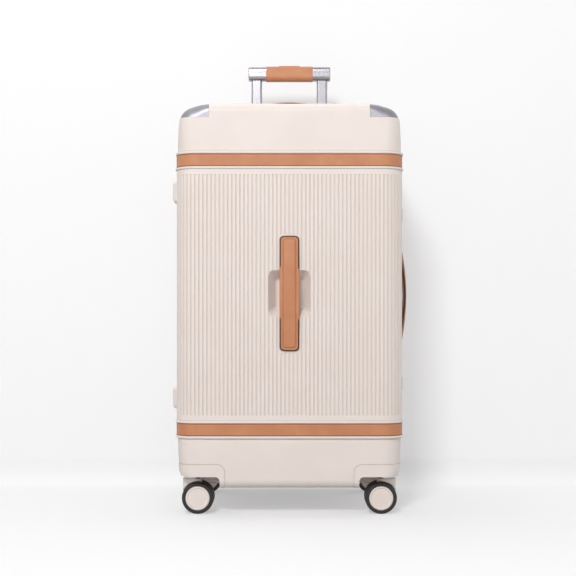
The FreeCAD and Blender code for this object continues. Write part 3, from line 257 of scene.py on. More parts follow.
bend = [math.pi / 2 * step / SWEEP_STEPS for step in range(SWEEP_STEPS + 1)]
profile = [(SWEEP_START + SWEEP_RADIUS * math.sin(a), SWEEP_RADIUS * (1 - math.cos(a))) for a in bend]
profile = [(-SWEEP_HALF, 0.0), *profile, (SWEEP_START + SWEEP_RADIUS, SWEEP_TOP)]
sweep_points = [(x, y, z) for y, z in profile for x in (-SWEEP_HALF, SWEEP_HALF)]
sweep_faces = [(2 * k, 2 * k + 1, 2 * k + 3, 2 * k + 2) for k in range(len(profile) - 1)]
sweep = stage_mesh("studio_sweep", sweep_points, sweep_faces, paper("sweep_paper", True))
sweep.visible_shadow = False
floor_points = [(x, y, -FLOOR_DROP) for y in (-SWEEP_HALF, SWEEP_HALF) for x in (-SWEEP_HALF, SWEEP_HALF)]
stage_mesh("studio_floor", floor_points, [(0, 1, 3, 2)], paper("floor_paper", False))
print("sweep bends up with a radius of", SWEEP_RADIUS, "m behind the case")

# %% Light the studio
WORLD_FILL = 0.6
SHOWN_WHITE = 1.0
CEILING = 0.4
CEILING_START = 0.1
CEILING_END = 0.9
AIM = Vector((0, 0, 0.42))
# Each lamp has its place, its size in metres and its power in watts.
LAMPS = {
    "key": ((-0.65, -3.3, 2.5), 0.7, 82.0),
    "overhead": ((-0.3, 0.5, 2.9), 1.4, 20.0),
    "back_right": ((2.2, 0.9, 1.2), 1.6, 15.0),
}

scene.world = bpy.data.worlds.new("studio")
scene.world.use_nodes = True
sky = scene.world.node_tree
heading = add(sky, "TexCoord", {}).outputs["Generated"]
upward = add(sky, "SeparateXYZ", {0: heading}).outputs["Z"]
ceiling = spread(sky, upward, CEILING_START, CEILING_END, 1.0, CEILING)
path = add(sky, "LightPath", {}).outputs
shown = calc(sky, "MAXIMUM", path["Is Camera Ray"], path["Is Transmission Ray"])
lit = spread(sky, path["Is Glossy Ray"], 0.0, 1.0, calc(sky, "MULTIPLY", ceiling, WORLD_FILL), ceiling)
strength = spread(sky, shown, 0.0, 1.0, lit, SHOWN_WHITE)
sky.nodes["Background"].inputs["Color"].default_value = WHITE
sky.links.new(strength, sky.nodes["Background"].inputs["Strength"])
for name, (spot, size, power) in LAMPS.items():
    lamp = bpy.data.objects.new(name, bpy.data.lights.new(name, "AREA"))
    lamp.data.size = size
    lamp.data.energy = power
    lamp.location = spot
    lamp.rotation_euler = (AIM - lamp.location).to_track_quat("-Z", "Y").to_euler()
    scene.collection.objects.link(lamp)
print("lamps:", ", ".join(LAMPS))

# %% [markdown]
# ## Shared effects
# Several finishes on this case need the same things: a fine moulded grain, leather grain, a weave,
# brushed lines in metal, painted shade in grooves and creases, dust, and edges rounded, worn and
# lightened by a painted highlight. Each effect is a group with named sockets, made once. A group gives
# out only masks, tones, heights and normals, and the material that places it decides what colour or gloss
# they become.

# %% Define the effect helpers
VALUE = "NodeSocketFloat"
NORMAL = "NodeSocketVector"
HEIGHT_AND_TONE = {"Height": VALUE, "Tone": VALUE}


def effect(name, inputs, outputs):
    """A new node group; returns its tree and the sockets inside it."""
    tree = bpy.data.node_groups.new(name, "ShaderNodeTree")
    for label, value in inputs.items():
        socket = tree.interface.new_socket(name=label, in_out="INPUT", socket_type=VALUE)
        socket.default_value = value
    for label, kind in outputs.items():
        tree.interface.new_socket(name=label, in_out="OUTPUT", socket_type=kind)
    return tree, tree.nodes.new("NodeGroupInput").outputs, tree.nodes.new("NodeGroupOutput").inputs


def use(tree, group, **inputs):
    """Place an effect in a material and return its outputs."""
    named = {label.replace("_", " "): value for label, value in inputs.items()}
    return add(tree, "Group", named, node_tree=group).outputs


print("effect helpers ready")

# %% Make the grain, edge wear and highlight, dust and painted shade effects
MOST_NOISE = (0.35, 0.65)
WEAR_PATCH = 6 * MM
SHUT_IN = (0.95, 0.6)
DUST_SLOPE = (0.3, 1.0)
DUST_SPECK = 4 * MM
DUST_SPAN = (0.45, 0.8)


def moulded_grain():
    """The fine texture that a mould leaves, and a tone that drifts from patch to patch."""
    tree, given, out = effect("moulded grain", {"Grain": 0.6 * MM, "Patch": 70 * MM}, HEIGHT_AND_TONE)
    tree.links.new(cloud(tree, given["Grain"]), out["Height"])
    tree.links.new(cloud(tree, given["Patch"], detail=4.0), out["Tone"])
    return tree


def rubbed_edge():
    """Where an edge turns from its face, broken up as wear is, for edge wear and a painted highlight, and the
    normal that rounds it.
    """
    inputs = {"Width": 0.6 * MM, "Strength": 3.0}
    tree, given, out = effect("worn highlight edge", inputs, {"Mask": VALUE, "Normal": NORMAL})
    soft = add(tree, "Bevel", {"Radius": given["Width"]}, samples=4).outputs["Normal"]
    flat = add(tree, "NewGeometry", {}).outputs["Normal"]
    alike = add(tree, "VectorMath", {0: soft, 1: flat}, operation="DOT_PRODUCT").outputs["Value"]
    turned = calc(tree, "MULTIPLY", calc(tree, "SUBTRACT", 1.0, alike), given["Strength"])
    broken = spread(tree, cloud(tree, WEAR_PATCH), *MOST_NOISE)
    tree.links.new(calc(tree, "MULTIPLY", turned, broken), out["Mask"])
    tree.links.new(soft, out["Normal"])
    return tree


def hollow():
    """How far a point is shut in by the walls of a groove or seam, for painted shade there."""
    tree, given, out = effect("hollow", {"Reach": 3 * MM}, {"Mask": VALUE})
    around = add(tree, "AmbientOcclusion", {"Distance": given["Reach"]}, samples=6, only_local=True)
    tree.links.new(spread(tree, around.outputs["AO"], *SHUT_IN), out["Mask"])
    return tree


def settled_dust():
    """Specks that lie on what faces up."""
    tree, given, out = effect("settled dust", {"Amount": 0.3}, {"Mask": VALUE})
    normal = add(tree, "NewGeometry", {}).outputs["Normal"]
    facing = add(tree, "SeparateXYZ", {0: normal}).outputs["Z"]
    lying = spread(tree, facing, *DUST_SLOPE)
    specks = spread(tree, cloud(tree, DUST_SPECK, detail=5.0), *DUST_SPAN)
    dusty = calc(tree, "MULTIPLY", calc(tree, "MULTIPLY", lying, specks), given["Amount"])
    tree.links.new(dusty, out["Mask"])
    return tree


grain_group = moulded_grain()
worn_highlight_group = rubbed_edge()
hollow_shade_group = hollow()
dust_group = settled_dust()
print("grain, wear and dirt effects ready")

# %% Make the leather, cloth and metal effects
CREASE_WANDER = 0.6 * MM
WANDERS_PER_METRE = 300.0
CREASE_SLOPE = 0.22
PEBBLE_TONE = 0.25
WEAVE_SLANT = 0.7
WEAVE_TONE = 0.4
CLOTH_FADE = 50 * MM
METAL_PATCH = 40 * MM


def leather_grain():
    """Pebbles with creases between them, and a tone that drifts over the hide."""
    tree, given, out = effect("leather grain", {"Cell": 1.2 * MM, "Patch": 35 * MM}, HEIGHT_AND_TONE)
    spot = places(tree)
    wander = add(tree, "TexNoise", {"Vector": spot, "Scale": WANDERS_PER_METRE}).outputs["Color"]
    bent = add(tree, "VectorMath", {0: wander, 1: (CREASE_WANDER,) * 3}, operation="MULTIPLY").outputs[0]
    bent = add(tree, "VectorMath", {0: bent, 1: spot}, operation="ADD").outputs[0]
    per_metre = calc(tree, "DIVIDE", 1.0, given["Cell"])
    crease = add(tree, "TexVoronoi", {"Vector": bent, "Scale": per_metre}, feature="DISTANCE_TO_EDGE")
    pebble = spread(tree, crease.outputs["Distance"], 0.0, CREASE_SLOPE)
    tree.links.new(pebble, out["Height"])
    patches = cloud(tree, given["Patch"], detail=4.0)
    tree.links.new(weighed(tree, patches, pebble, PEBBLE_TONE), out["Tone"])
    return tree


def woven_cloth():
    """Threads that pass over and under each other, and a tone that fades in patches."""
    tree, given, out = effect("woven cloth", {"Thread": 0.9 * MM}, HEIGHT_AND_TONE)
    axes = add(tree, "SeparateXYZ", {0: places(tree)}).outputs
    across = calc(tree, "ADD", axes["X"], axes["Y"])
    along = calc(tree, "ADD", axes["Z"], calc(tree, "MULTIPLY", axes["Y"], WEAVE_SLANT))
    waves = []
    for way in (across, along):
        threads = calc(tree, "DIVIDE", way, given["Thread"])
        waves.append(calc(tree, "SINE", calc(tree, "MULTIPLY", threads, math.pi)))
    checker = spread(tree, calc(tree, "MULTIPLY", *waves), -1.0, 1.0)
    tree.links.new(checker, out["Height"])
    faded = cloud(tree, CLOTH_FADE, detail=4.0)
    tree.links.new(weighed(tree, faded, checker, WEAVE_TONE), out["Tone"])
    return tree


def brushed_lines():
    """Noise that can be squeezed along some axes and left long along another."""
    tree, given, out = effect("brushed lines", {"Along " + axis: 0.4 * MM for axis in "XYZ"}, HEIGHT_AND_TONE)
    sizes = add(tree, "CombineXYZ", {axis: given["Along " + axis] for axis in "XYZ"}).outputs[0]
    drawn = add(tree, "VectorMath", {0: places(tree), 1: sizes}, operation="DIVIDE").outputs[0]
    lines = add(tree, "TexNoise", {"Vector": drawn, "Scale": 1.0, "Detail": 3.0}).outputs["Fac"]
    tree.links.new(lines, out["Height"])
    tree.links.new(cloud(tree, METAL_PATCH, detail=3.0), out["Tone"])
    return tree


hide_group = leather_grain()
weave_group = woven_cloth()
line_group = brushed_lines()
print("node groups:", ", ".join(sorted(group.name for group in bpy.data.node_groups)))

# %% [markdown]
# ## Moulded plastic and rubber
# The shell is a satin polycarbonate in warm ivory. Under the satin there is a very fine moulded
# texture, and the colour drifts a little from patch to patch. One function makes all the moulded
# plastics and rubbers on the case, because they differ only in colour, gloss and grain.
# The rounded-edge normal softens every groove and rim without adding a single face.

# %% Make the moulded finishes
DUST = screen(206, 200, 192)
DUST_DULLS = 0.3
# Colour of the painted shade in grooves and seams.
GROOVE_SHADE_COLOUR = screen(178, 162, 150)
WORN_HIGHLIGHT_LIMIT = 0.5
MOULDED_SPAN = (0.2, 0.8)
MOULDED_SHIFT = (-0.05, 0.06)
IVORY = screen(236, 225, 218)
IVORY_DEEP = screen(234, 222, 214)
# Paler colour of edges: wear and a painted highlight.
IVORY_WORN_HIGHLIGHT = screen(243, 234, 229)


def relief(tree, shader, height, depth, normal=None):
    """Feed a height map of that depth, in metres, to a shader's normal."""
    sockets = {"Height": height, "Distance": depth, "Strength": 1.0}
    if normal is not None:
        sockets["Normal"] = normal
    tree.links.new(add(tree, "Bump", sockets).outputs[0], shader.inputs["Normal"])


def uneven(tree, value, span, roughness, shift):
    """Roughness that changes with a value: shift says by how much at either end of the value's span."""
    at_low, at_high = (roughness + change for change in shift)
    return spread(tree, value, *span, at_low, at_high)


def moulded(name, colour, deep, rubbed, roughness, grain, depth, edge, dust=0.15, groove_shade=0.0):
    """Moulded plastic or rubber: colour drifts to deep in patches, and turns to rubbed on edges, as wear and
    a painted highlight.

    dust is how much settles on what faces up, and the last argument is how much painted shade darkens grooves
    and seams.
    """
    made, tree, shader = finish(name, roughness)
    skin = use(tree, grain_group, Grain=grain)
    worn_highlight = use(tree, worn_highlight_group, Width=edge)
    base = mixed(tree, spread(tree, skin["Tone"], *MOST_NOISE), colour, deep)
    # Edges turn paler: wear and a painted highlight.
    base = mixed(tree, calc(tree, "MINIMUM", worn_highlight["Mask"], WORN_HIGHLIGHT_LIMIT), base, rubbed)
    settled = use(tree, dust_group, Amount=dust)["Mask"]
    base = mixed(tree, settled, base, DUST)
    # Painted shade: grooves and seams darken towards that colour by how shut in they are.
    if groove_shade:
        shaded = calc(tree, "MULTIPLY", use(tree, hollow_shade_group)["Mask"], groove_shade)
        base = mixed(tree, shaded, base, GROOVE_SHADE_COLOUR)
    tree.links.new(base, shader.inputs["Base Color"])
    gloss = uneven(tree, skin["Tone"], MOULDED_SPAN, roughness, MOULDED_SHIFT)
    dulled = calc(tree, "ADD", gloss, calc(tree, "MULTIPLY", settled, DUST_DULLS))
    tree.links.new(dulled, shader.inputs["Roughness"])
    relief(tree, shader, skin["Height"], depth, worn_highlight["Normal"])
    return made


finishes = {
    "shell": moulded(
        "ivory_shell", IVORY, IVORY_DEEP, IVORY_WORN_HIGHLIGHT,
        roughness=0.5, grain=0.5 * MM, depth=0.02 * MM, edge=0.4 * MM, dust=0.05, groove_shade=0.45),
    "caster_plastic": moulded(
        "ivory_caster", screen(240, 229, 222), screen(235, 222, 214), screen(244, 236, 230),
        roughness=0.42, grain=0.6 * MM, depth=0.04 * MM, edge=0.6 * MM),
    "dial_plastic": moulded(
        "dark_plastic", screen(58, 56, 56), screen(48, 46, 46), screen(84, 82, 80),
        roughness=0.45, grain=0.4 * MM, depth=0.04 * MM, edge=0.3 * MM),
    "seal_rubber": moulded(
        "seal_rubber", screen(44, 43, 43), screen(36, 35, 35), screen(64, 62, 60),
        roughness=0.7, grain=0.6 * MM, depth=0.05 * MM, edge=0.4 * MM),
    "tyre": moulded(
        "tyre_rubber", screen(34, 28, 29), screen(26, 21, 22), screen(62, 54, 53),
        roughness=0.5, grain=0.8 * MM, depth=0.05 * MM, edge=0.8 * MM),
}
print("moulded finishes:", ", ".join(finishes))

# %% [markdown]
# ## Metal
# The corner caps are satin metal, the frames and trolley posts are anodised aluminium, and the
# hinges, latches and pins are plated steel. What makes metal look real is that its gloss is
# uneven: fine lines left by brushing stretch each highlight. A noise squeezed hard in two
# directions and left long in the third gives such lines for almost nothing.

# %% Make the metal finishes
LINE = 0.25 * MM
LONG = 20 * MM
# Paler metal on edges: bared by wear and lit by a painted highlight.
BARE_METAL_HIGHLIGHT = screen(226, 226, 229)
BARE_HIGHLIGHT_LIMIT = 0.6
LINE_TONE = 0.5
METAL_SPAN = (0.25, 0.75)
METAL_SHIFT = (-0.07, 0.08)


def metal(name, colour, deep, roughness, run, depth, edge):
    """Brushed metal whose lines run along one axis of the case."""
    made, tree, shader = finish(name, roughness, metallic=1.0)
    lengths = {"Along_" + axis: LONG if axis == run else LINE for axis in "XYZ"}
    brushed = use(tree, line_group, **lengths)
    worn_highlight = use(tree, worn_highlight_group, Width=edge)
    shade = weighed(tree, brushed["Tone"], brushed["Height"], LINE_TONE)
    base = mixed(tree, spread(tree, shade, *MOST_NOISE), deep, colour)
    # Edges turn paler: bared metal and a painted highlight.
    base = mixed(tree, calc(tree, "MINIMUM", worn_highlight["Mask"], BARE_HIGHLIGHT_LIMIT), base, BARE_METAL_HIGHLIGHT)
    tree.links.new(base, shader.inputs["Base Color"])
    gloss = uneven(tree, brushed["Height"], METAL_SPAN, roughness, METAL_SHIFT)
    tree.links.new(gloss, shader.inputs["Roughness"])
    relief(tree, shader, brushed["Height"], depth, worn_highlight["Normal"])
    return made


finishes["cap_metal"] = metal(
    "satin_cap", screen(170, 167, 175), screen(150, 147, 155),
    roughness=0.5, run="X", depth=0.006 * MM, edge=1.0 * MM)
finishes["frame_aluminium"] = metal(
    "anodised_aluminium", screen(170, 168, 173), screen(160, 158, 163),
    roughness=0.27, run="Z", depth=0.003 * MM, edge=0.6 * MM)
finishes["steel"] = metal(
    "plated_steel", screen(190, 189, 190), screen(170, 169, 170),
    roughness=0.26, run="Z", depth=0.004 * MM, edge=0.4 * MM)
print("metal finishes: cap, frame and fittings")

# %% [markdown]
# ## Leather
# Bands, handles and the grip's sleeve are the same tan hide. Its pebbled grain is a Voronoi
# texture: the distance to the nearest cell border is low in the creases and high on the pebbles.
# Cut edges are painted dark brown. The bands show two thin dark lines, edge paint with painted shade of the
# gap beside each band, so their material darkens within a millimetre or two of each edge, measured up the
# case.

# %% Make the leather finishes
TAN = screen(205, 141, 100)
TAN_DEEP = screen(192, 125, 86)
# Paler hide on edges: wear and a painted highlight.
TAN_WORN_HIGHLIGHT = screen(218, 165, 129)
HIDE_TONES = (0.38, 0.72)
HIDE_ROUGHNESS = 0.46
HIDE_SPAN = (0.3, 0.75)
HIDE_SHIFT = (0.08, -0.05)
HIDE_EDGE = 0.7 * MM
HIDE_RELIEF = 0.05 * MM
# How far and how strongly painted shade darkens creases and steps in the hide.
CREASE_SHADE_REACH = 5 * MM
CREASE_SHADE_SHARE = 0.7
EDGE_PAINT = screen(100, 50, 28)
EDGE_PAINT_DEEP = screen(84, 42, 24)
EDGE_PAINT_LIGHT = screen(118, 68, 42)
# Width of the dark line at each band edge: edge paint and painted shade of the gap beside it.
BAND_DARK_EDGE = 1.2 * MM
BAND_FADE = 0.6 * MM
BAND_COVER = 0.85


def hide(name):
    """Tan leather; returns the material, its tree, its shader and its colour so far."""
    made, tree, shader = finish(name, HIDE_ROUGHNESS)
    skin = use(tree, hide_group)
    worn_highlight = use(tree, worn_highlight_group, Width=HIDE_EDGE)
    base = mixed(tree, spread(tree, skin["Tone"], *HIDE_TONES), TAN_DEEP, TAN)
    # Edges turn paler: wear and a painted highlight.
    base = mixed(tree, calc(tree, "MINIMUM", worn_highlight["Mask"], WORN_HIGHLIGHT_LIMIT), base, TAN_WORN_HIGHLIGHT)
    # Painted shade: creases and steps of the hide darken towards a brown by how shut in they are.
    crease = use(tree, hollow_shade_group, Reach=CREASE_SHADE_REACH)["Mask"]
    base = mixed(tree, calc(tree, "MULTIPLY", crease, CREASE_SHADE_SHARE), base, EDGE_PAINT_LIGHT)
    gloss = uneven(tree, skin["Tone"], HIDE_SPAN, HIDE_ROUGHNESS, HIDE_SHIFT)
    tree.links.new(gloss, shader.inputs["Roughness"])
    relief(tree, shader, skin["Height"], HIDE_RELIEF, worn_highlight["Normal"])
    tree.links.new(base, shader.inputs["Base Color"])
    return made, tree, shader, base


def spans_of(node, low, high):
    """The lowest and highest points, up the case, of what a node has between two heights."""
    heights = [vertex.co.z for vertex in nodes[node].data.vertices if low < vertex.co.z < high]
    return min(heights), max(heights)


def band_hide():
    """Leather with dark lines along the edges of the two bands: edge paint and painted gap shade."""
    made, tree, shader, base = hide("band_leather")
    low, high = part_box("lid_bands")[0].z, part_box("lid_bands")[1].z
    middle = (low + high) / 2
    height = add(tree, "SeparateXYZ", {0: places(tree)}).outputs["Z"]
    gaps = []
    for start, end in ((0, middle), (middle, high + 1)):
        bottom, top = spans_of("lid_bands", start, end)
        off_middle = calc(tree, "ABSOLUTE", calc(tree, "SUBTRACT", height, (bottom + top) / 2))
        gaps.append(calc(tree, "SUBTRACT", (top - bottom) / 2, off_middle))
    from_edge = calc(tree, "MAXIMUM", *gaps)
    # Edge paint and painted gap shade: a dark line along each edge of each band.
    paint = spread(tree, from_edge, BAND_DARK_EDGE, BAND_DARK_EDGE + BAND_FADE, BAND_COVER, 0.0)
    tree.links.new(mixed(tree, paint, base, EDGE_PAINT), shader.inputs["Base Color"])
    return made


finishes["leather"] = hide("tan_leather")[0]
finishes["bands"] = band_hide()
finishes["edge_paint"] = moulded(
    "edge_paint", EDGE_PAINT, EDGE_PAINT_DEEP, EDGE_PAINT_LIGHT,
    roughness=0.62, grain=0.9 * MM, depth=0.04 * MM, edge=0.4 * MM, dust=0.0)
print("leather finishes: hide, banded hide, edge paint")

# %% [markdown]
# ## Thread and cloth
# The lining, the webbing of the packing straps and the waxed thread of the handles are all woven
# or twisted. They share the weave effect at three sizes of thread, and a little sheen gives them
# the soft bright rim that fibres have. An image could hold the weave, but a formula has no edge
# where it would have to repeat.

# %% Make the thread and cloth finishes
CLOTH_SHEEN = 0.15
CLOTH_TONES = (0.25, 0.75)
CLOTH_SPAN = (0.0, 1.0)
CLOTH_SHIFT = (0.08, -0.05)


def woven(name, colour, deep, thread, depth, roughness=0.85):
    """Woven cloth, webbing or thread."""
    made, tree, shader = finish(name, roughness, specular=0.25)
    cloth = use(tree, weave_group, Thread=thread)
    base = mixed(tree, spread(tree, cloth["Tone"], *CLOTH_TONES), deep, colour)
    tree.links.new(base, shader.inputs["Base Color"])
    gloss = uneven(tree, cloth["Height"], CLOTH_SPAN, roughness, CLOTH_SHIFT)
    tree.links.new(gloss, shader.inputs["Roughness"])
    shader.inputs["Sheen Weight"].default_value = CLOTH_SHEEN
    relief(tree, shader, cloth["Height"], depth)
    return made


finishes["lining"] = woven(
    "lining_cloth", screen(222, 211, 198), screen(200, 187, 171), thread=1.1 * MM, depth=0.12 * MM)
finishes["webbing"] = woven(
    "webbing", screen(140, 96, 66), screen(104, 68, 45), thread=1.6 * MM, depth=0.25 * MM)
finishes["thread"] = woven(
    "waxed_thread", screen(226, 192, 158), screen(196, 156, 122),
    thread=0.4 * MM, depth=0.06 * MM, roughness=0.6)
print("cloth finishes: lining, webbing, thread")

# %% [markdown]
# ## Finish the engineering model
# The record says which material slot each node belongs to, so dressing sixty nodes is one loop.
# The bands share the leather slot with the handles but need their dark edge lines, edge paint with painted
# gap shade, so they are the one exception.

# %% Dress every node
slot_of = {part["node"]: part["material_slot"] for part in frame["record"]["subparts"]}
for name, part in nodes.items():
    look = finishes["bands"] if name.endswith("_bands") else finishes[slot_of[name]]
    part.data.materials.clear()
    part.data.materials.append(look)
print("dressed", len(slot_of), "nodes in", len(set(slot_of.values())), "slots")

# %% [markdown]
# ## Leather handles
# Three handles are made alike: a flat strap of two leathers sewn together, with a soft core that
# raises the middle and a dark painted edge. Its ends lie on the case and its middle bows out, so
# that fingers fit behind it. The strap is a stack of closed rings. Each ring is the strap's outline
# drawn in by some amount, at some height, and neighbouring rings are bridged with faces.
# This gives the border, the step of the sewn seam and the crowned core in one clean mesh.
# The top follows one long arc from end to end, and the underside leaves the case past the pads.

# %% Shape a strap
STRAP_END = 10 * MM
STRAP_TIP = 1 * MM
STRAP_PAD = 36 * MM
STRAP_STEPS = 72
END_STEPS = 17
END_SQUARENESS = 3.6
# How far each ring is drawn in and how high it lies, in millimetres, from the underside to the crown.
STRAP_RINGS = (
    (6.0, 0.0), (0.7, 0.0), (0.15, 0.25), (0.0, 0.9), (0.0, 2.2), (0.2, 2.8), (1.2, 3.1), (2.6, 3.15),
    (5.4, 3.0), (6.2, 3.1), (6.8, 4.0), (7.5, 4.6), (8.8, 4.9), (11.0, 5.0), (14.5, 5.05),
)
STRAP_THICK = STRAP_RINGS[-1][1] * MM


def strap_ring(half_length, half_width, inset):
    """Points (along, across) of a strap's outline drawn in by inset, with squarish round ends."""
    straight = half_length - max(STRAP_END, inset + STRAP_TIP)
    end, side = half_length - inset - straight, half_width - inset
    half = [(straight * (2 * step / STRAP_STEPS - 1), side) for step in range(STRAP_STEPS + 1)]
    for step in range(1, END_STEPS + 1):
        angle = math.pi * step / (END_STEPS + 1)
        out, over = (abs(x) ** (2 / END_SQUARENESS) for x in (math.sin(angle), math.cos(angle)))
        half.append((straight + end * out, math.copysign(side * over, math.cos(angle))))
    return half + [(-along, -across) for along, across in half]


class Strap:
    """A bowed strap in the space of its plain solid: where its points lie, seen from its middle."""

    def __init__(self, node, along, outward):
        low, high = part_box(node)
        size = high - low
        self.along, self.outward = Vector(along), Vector(outward)
        self.across = self.outward.cross(self.along)
        self.half_length = abs(size.dot(self.along)) / 2
        self.half_width = abs(size.dot(self.across)) / 2
        rise = abs(size.dot(self.outward))
        self.middle = (low + high) / 2 - self.outward * rise / 2
        self.bow = rise - STRAP_THICK
        self.free = self.half_length - STRAP_PAD

    def lift(self, along, share):
        """How far the bow moves a point out; share is 0 at the strap's underside and 1 at its top."""
        under, over = (max(0.0, 1 - (along / reach) ** 2) for reach in (self.free, self.half_length))
        return self.bow * (under + (over - under) * share)

    def point(self, along, across, height):
        """A point of the strap in the frame of the case."""
        off = self.lift(along, height / STRAP_THICK) + height
        return self.middle + self.along * along + self.across * across + self.outward * off


UP, RIGHT, FRONT = (0, 0, 1), (1, 0, 0), (0, -1, 0)
straps = {
    "front": ("lid", Strap("front_handle", UP, FRONT)),
    "side": ("side_carry", Strap("side_handle", UP, RIGHT)),
    "top": ("top_carry", Strap("top_handle", RIGHT, UP)),
}
for side, (body, strap) in straps.items():
    print(side, "handle bows out by", round(strap.bow / MM, 1), "mm")

# %% Build the handles
PAINTED_EDGE = range(1, 5)
# Border rings that are dark near the ends only: edge paint and painted shadow where the strap lies on the
# case.
DARK_BORDER = (5, 6)
DARK_RUN = 60 * MM


def new_piece(name, work, body, materials):
    """Turn an edited mesh into a named piece that rides on a body."""
    mesh = bpy.data.meshes.new(name)
    work.to_mesh(mesh)
    work.free()
    for material in materials:
        mesh.materials.append(material)
    mesh.shade_smooth()
    made = bpy.data.objects.new(name, mesh)
    scene.collection.objects.link(made)
    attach(made, body)
    return made


def bridge(work, lower, upper):
    """The faces between two closed rings that have as many points."""
    corners = zip(lower, lower[1:] + lower[:1], upper[1:] + upper[:1], upper)
    return [work.faces.new(four) for four in corners]


def close_ring(work, ring):
    """Close the lowest or highest ring: quads from side to side, and one face over each rounded end."""
    half = len(ring) // 2
    for k in range(STRAP_STEPS):
        far = half + STRAP_STEPS - k
        work.faces.new([ring[k], ring[k + 1], ring[far - 1], ring[far]])
    work.faces.new(ring[STRAP_STEPS:half + 1])
    work.faces.new(ring[half + STRAP_STEPS:] + ring[:1])


def leather_strap(name, node, body, strap):
    """A padded strap with painted edges, which stands for its plain solid."""
    work = bmesh.new()
    rings = []
    for inset, height in STRAP_RINGS:
        outline = strap_ring(strap.half_length, strap.half_width, inset * MM)
        rings.append([work.verts.new(strap.point(s, t, height * MM)) for s, t in outline])
    near_end = [abs(along) > strap.half_length - DARK_RUN for along, _ in outline]
    for index, (lower, upper) in enumerate(zip(rings, rings[1:])):
        for face, at_end in zip(bridge(work, lower, upper), near_end):
            # Near the ends the border is dark too: edge paint and painted shadow where the strap lies on the
            # case.
            painted = index in PAINTED_EDGE or (index in DARK_BORDER and at_end)
            face.material_index = int(painted)
    close_ring(work, rings[0])
    close_ring(work, rings[-1])
    bmesh.ops.recalc_face_normals(work, faces=work.faces)
    made = new_piece(name, work, body, [finishes["leather"], finishes["edge_paint"]])
    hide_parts(node)
    print(name, "has", len(made.data.polygons), "faces")


for side, (body, strap) in straps.items():
    leather_strap(f"{side}_handle_leather", f"{side}_handle", body, strap)

# %% [markdown]
# ## Stitching
# A row of saddle stitches runs round each handle, on the flat border outside the raised core.
# A bump in the material could draw it, but close up a stitch is a little bead of thread that sits
# in the leather and catches light. Each one here is a small squeezed sphere, laid along the seam.

# %% Sew the handles
STITCH_INSET = 2.9 * MM
STITCH_HEIGHT = 3.15 * MM
STITCH_PITCH = 4.2 * MM
STITCH = Vector((1.5, 0.42, 0.34)) * MM


def evenly(points, pitch):
    """Spots and directions at even steps round a closed row of points."""
    pairs = list(zip(points, points[1:] + points[:1]))
    total = sum((end - start).length for start, end in pairs)
    count = round(total / pitch)
    walked, wanted, found = 0.0, 0.0, []
    for start, end in pairs:
        step = (end - start).length
        while wanted < walked + step and len(found) < count:
            found.append((start.lerp(end, (wanted - walked) / step), (end - start).normalized()))
            wanted += total / count
        walked += step
    return found


def bead(work, spot, along, up):
    """One stitch: a squeezed sphere that lies along the seam."""
    side = up.cross(along).normalized()
    axes = Matrix((along * STITCH.x, side * STITCH.y, up * STITCH.z)).transposed().to_4x4()
    place = Matrix.Translation(spot) @ axes @ Matrix.Rotation(math.pi / 2, 4, "Y")
    bmesh.ops.create_uvsphere(work, u_segments=6, v_segments=5, radius=1.0, matrix=place)


for side, (body, strap) in straps.items():
    outline = strap_ring(strap.half_length, strap.half_width, STITCH_INSET)
    seam = [strap.point(s, t, STITCH_HEIGHT) for s, t in outline]
    thread = bmesh.new()
    stitches = evenly(seam, STITCH_PITCH)
    for spot, along in stitches:
        bead(thread, spot, along, strap.outward)
    new_piece(f"{side}_handle_stitching", thread, body, [finishes["thread"]])
    print(side, "handle has", len(stitches), "stitches")

# %% [markdown]
# ## Linings
# Inside, lid and body are lined with cloth that is pulled tight and glued at the rim. The plain
# solid of each lining is a thin tub of two skins. Once the faces of its rim are taken away the skins fall
# apart, and the inner one is the face of the cloth. Its triangles are long and uneven, so the tub's
# mouth is closed for a moment, the volume is remeshed into even squares, and the mouth is opened again.
# Soft noise then gives the slight hollows and swells that stretched cloth has.

# %% Find the inner skin of a lining
NEAR = 0.1 * MM
WELD = 0.01 * MM


def islands(work):
    """The connected groups of faces of a mesh."""
    left = set(work.faces)
    while left:
        stack = [left.pop()]
        island = []
        while stack:
            face = stack.pop()
            island.append(face)
            found = {other for edge in face.edges for other in edge.link_faces} & left
            left -= found
            stack += found
        yield island


def inner_skin(node, mouth):
    """The inner skin of a thin tub that is open at y = mouth."""
    work = bmesh.new()
    work.from_mesh(nodes[node].data)
    bmesh.ops.remove_doubles(work, verts=work.verts, dist=WELD)
    rim = [face for face in work.faces if all(abs(vertex.co.y - mouth) < NEAR for vertex in face.verts)]
    bmesh.ops.delete(work, geom=rim, context="FACES_ONLY")
    skins = sorted(islands(work), key=lambda faces: max(v.co.x for face in faces for v in face.verts))
    bmesh.ops.delete(work, geom=[face for skin in skins[1:] for face in skin], context="FACES")
    return work


print("rim faces are taken off within", NEAR / MM, "mm of the mouth")

# %% Line the lid and the body
CLOTH_STEP = 4 * MM
CLOTH_OFF = 0.9 * MM
CLOTH_SWELL = 0.5 * MM
CLOTH_PATCH = 50 * MM
MOUTH_FACING = 0.7


def final_mesh(holder):
    """The mesh that a helper object ends up as, with its modifiers; the helper is removed."""
    scene.collection.objects.link(holder)
    mesh = bpy.data.meshes.new_from_object(holder.evaluated_get(bpy.context.evaluated_depsgraph_get()))
    bpy.data.objects.remove(holder)
    return mesh


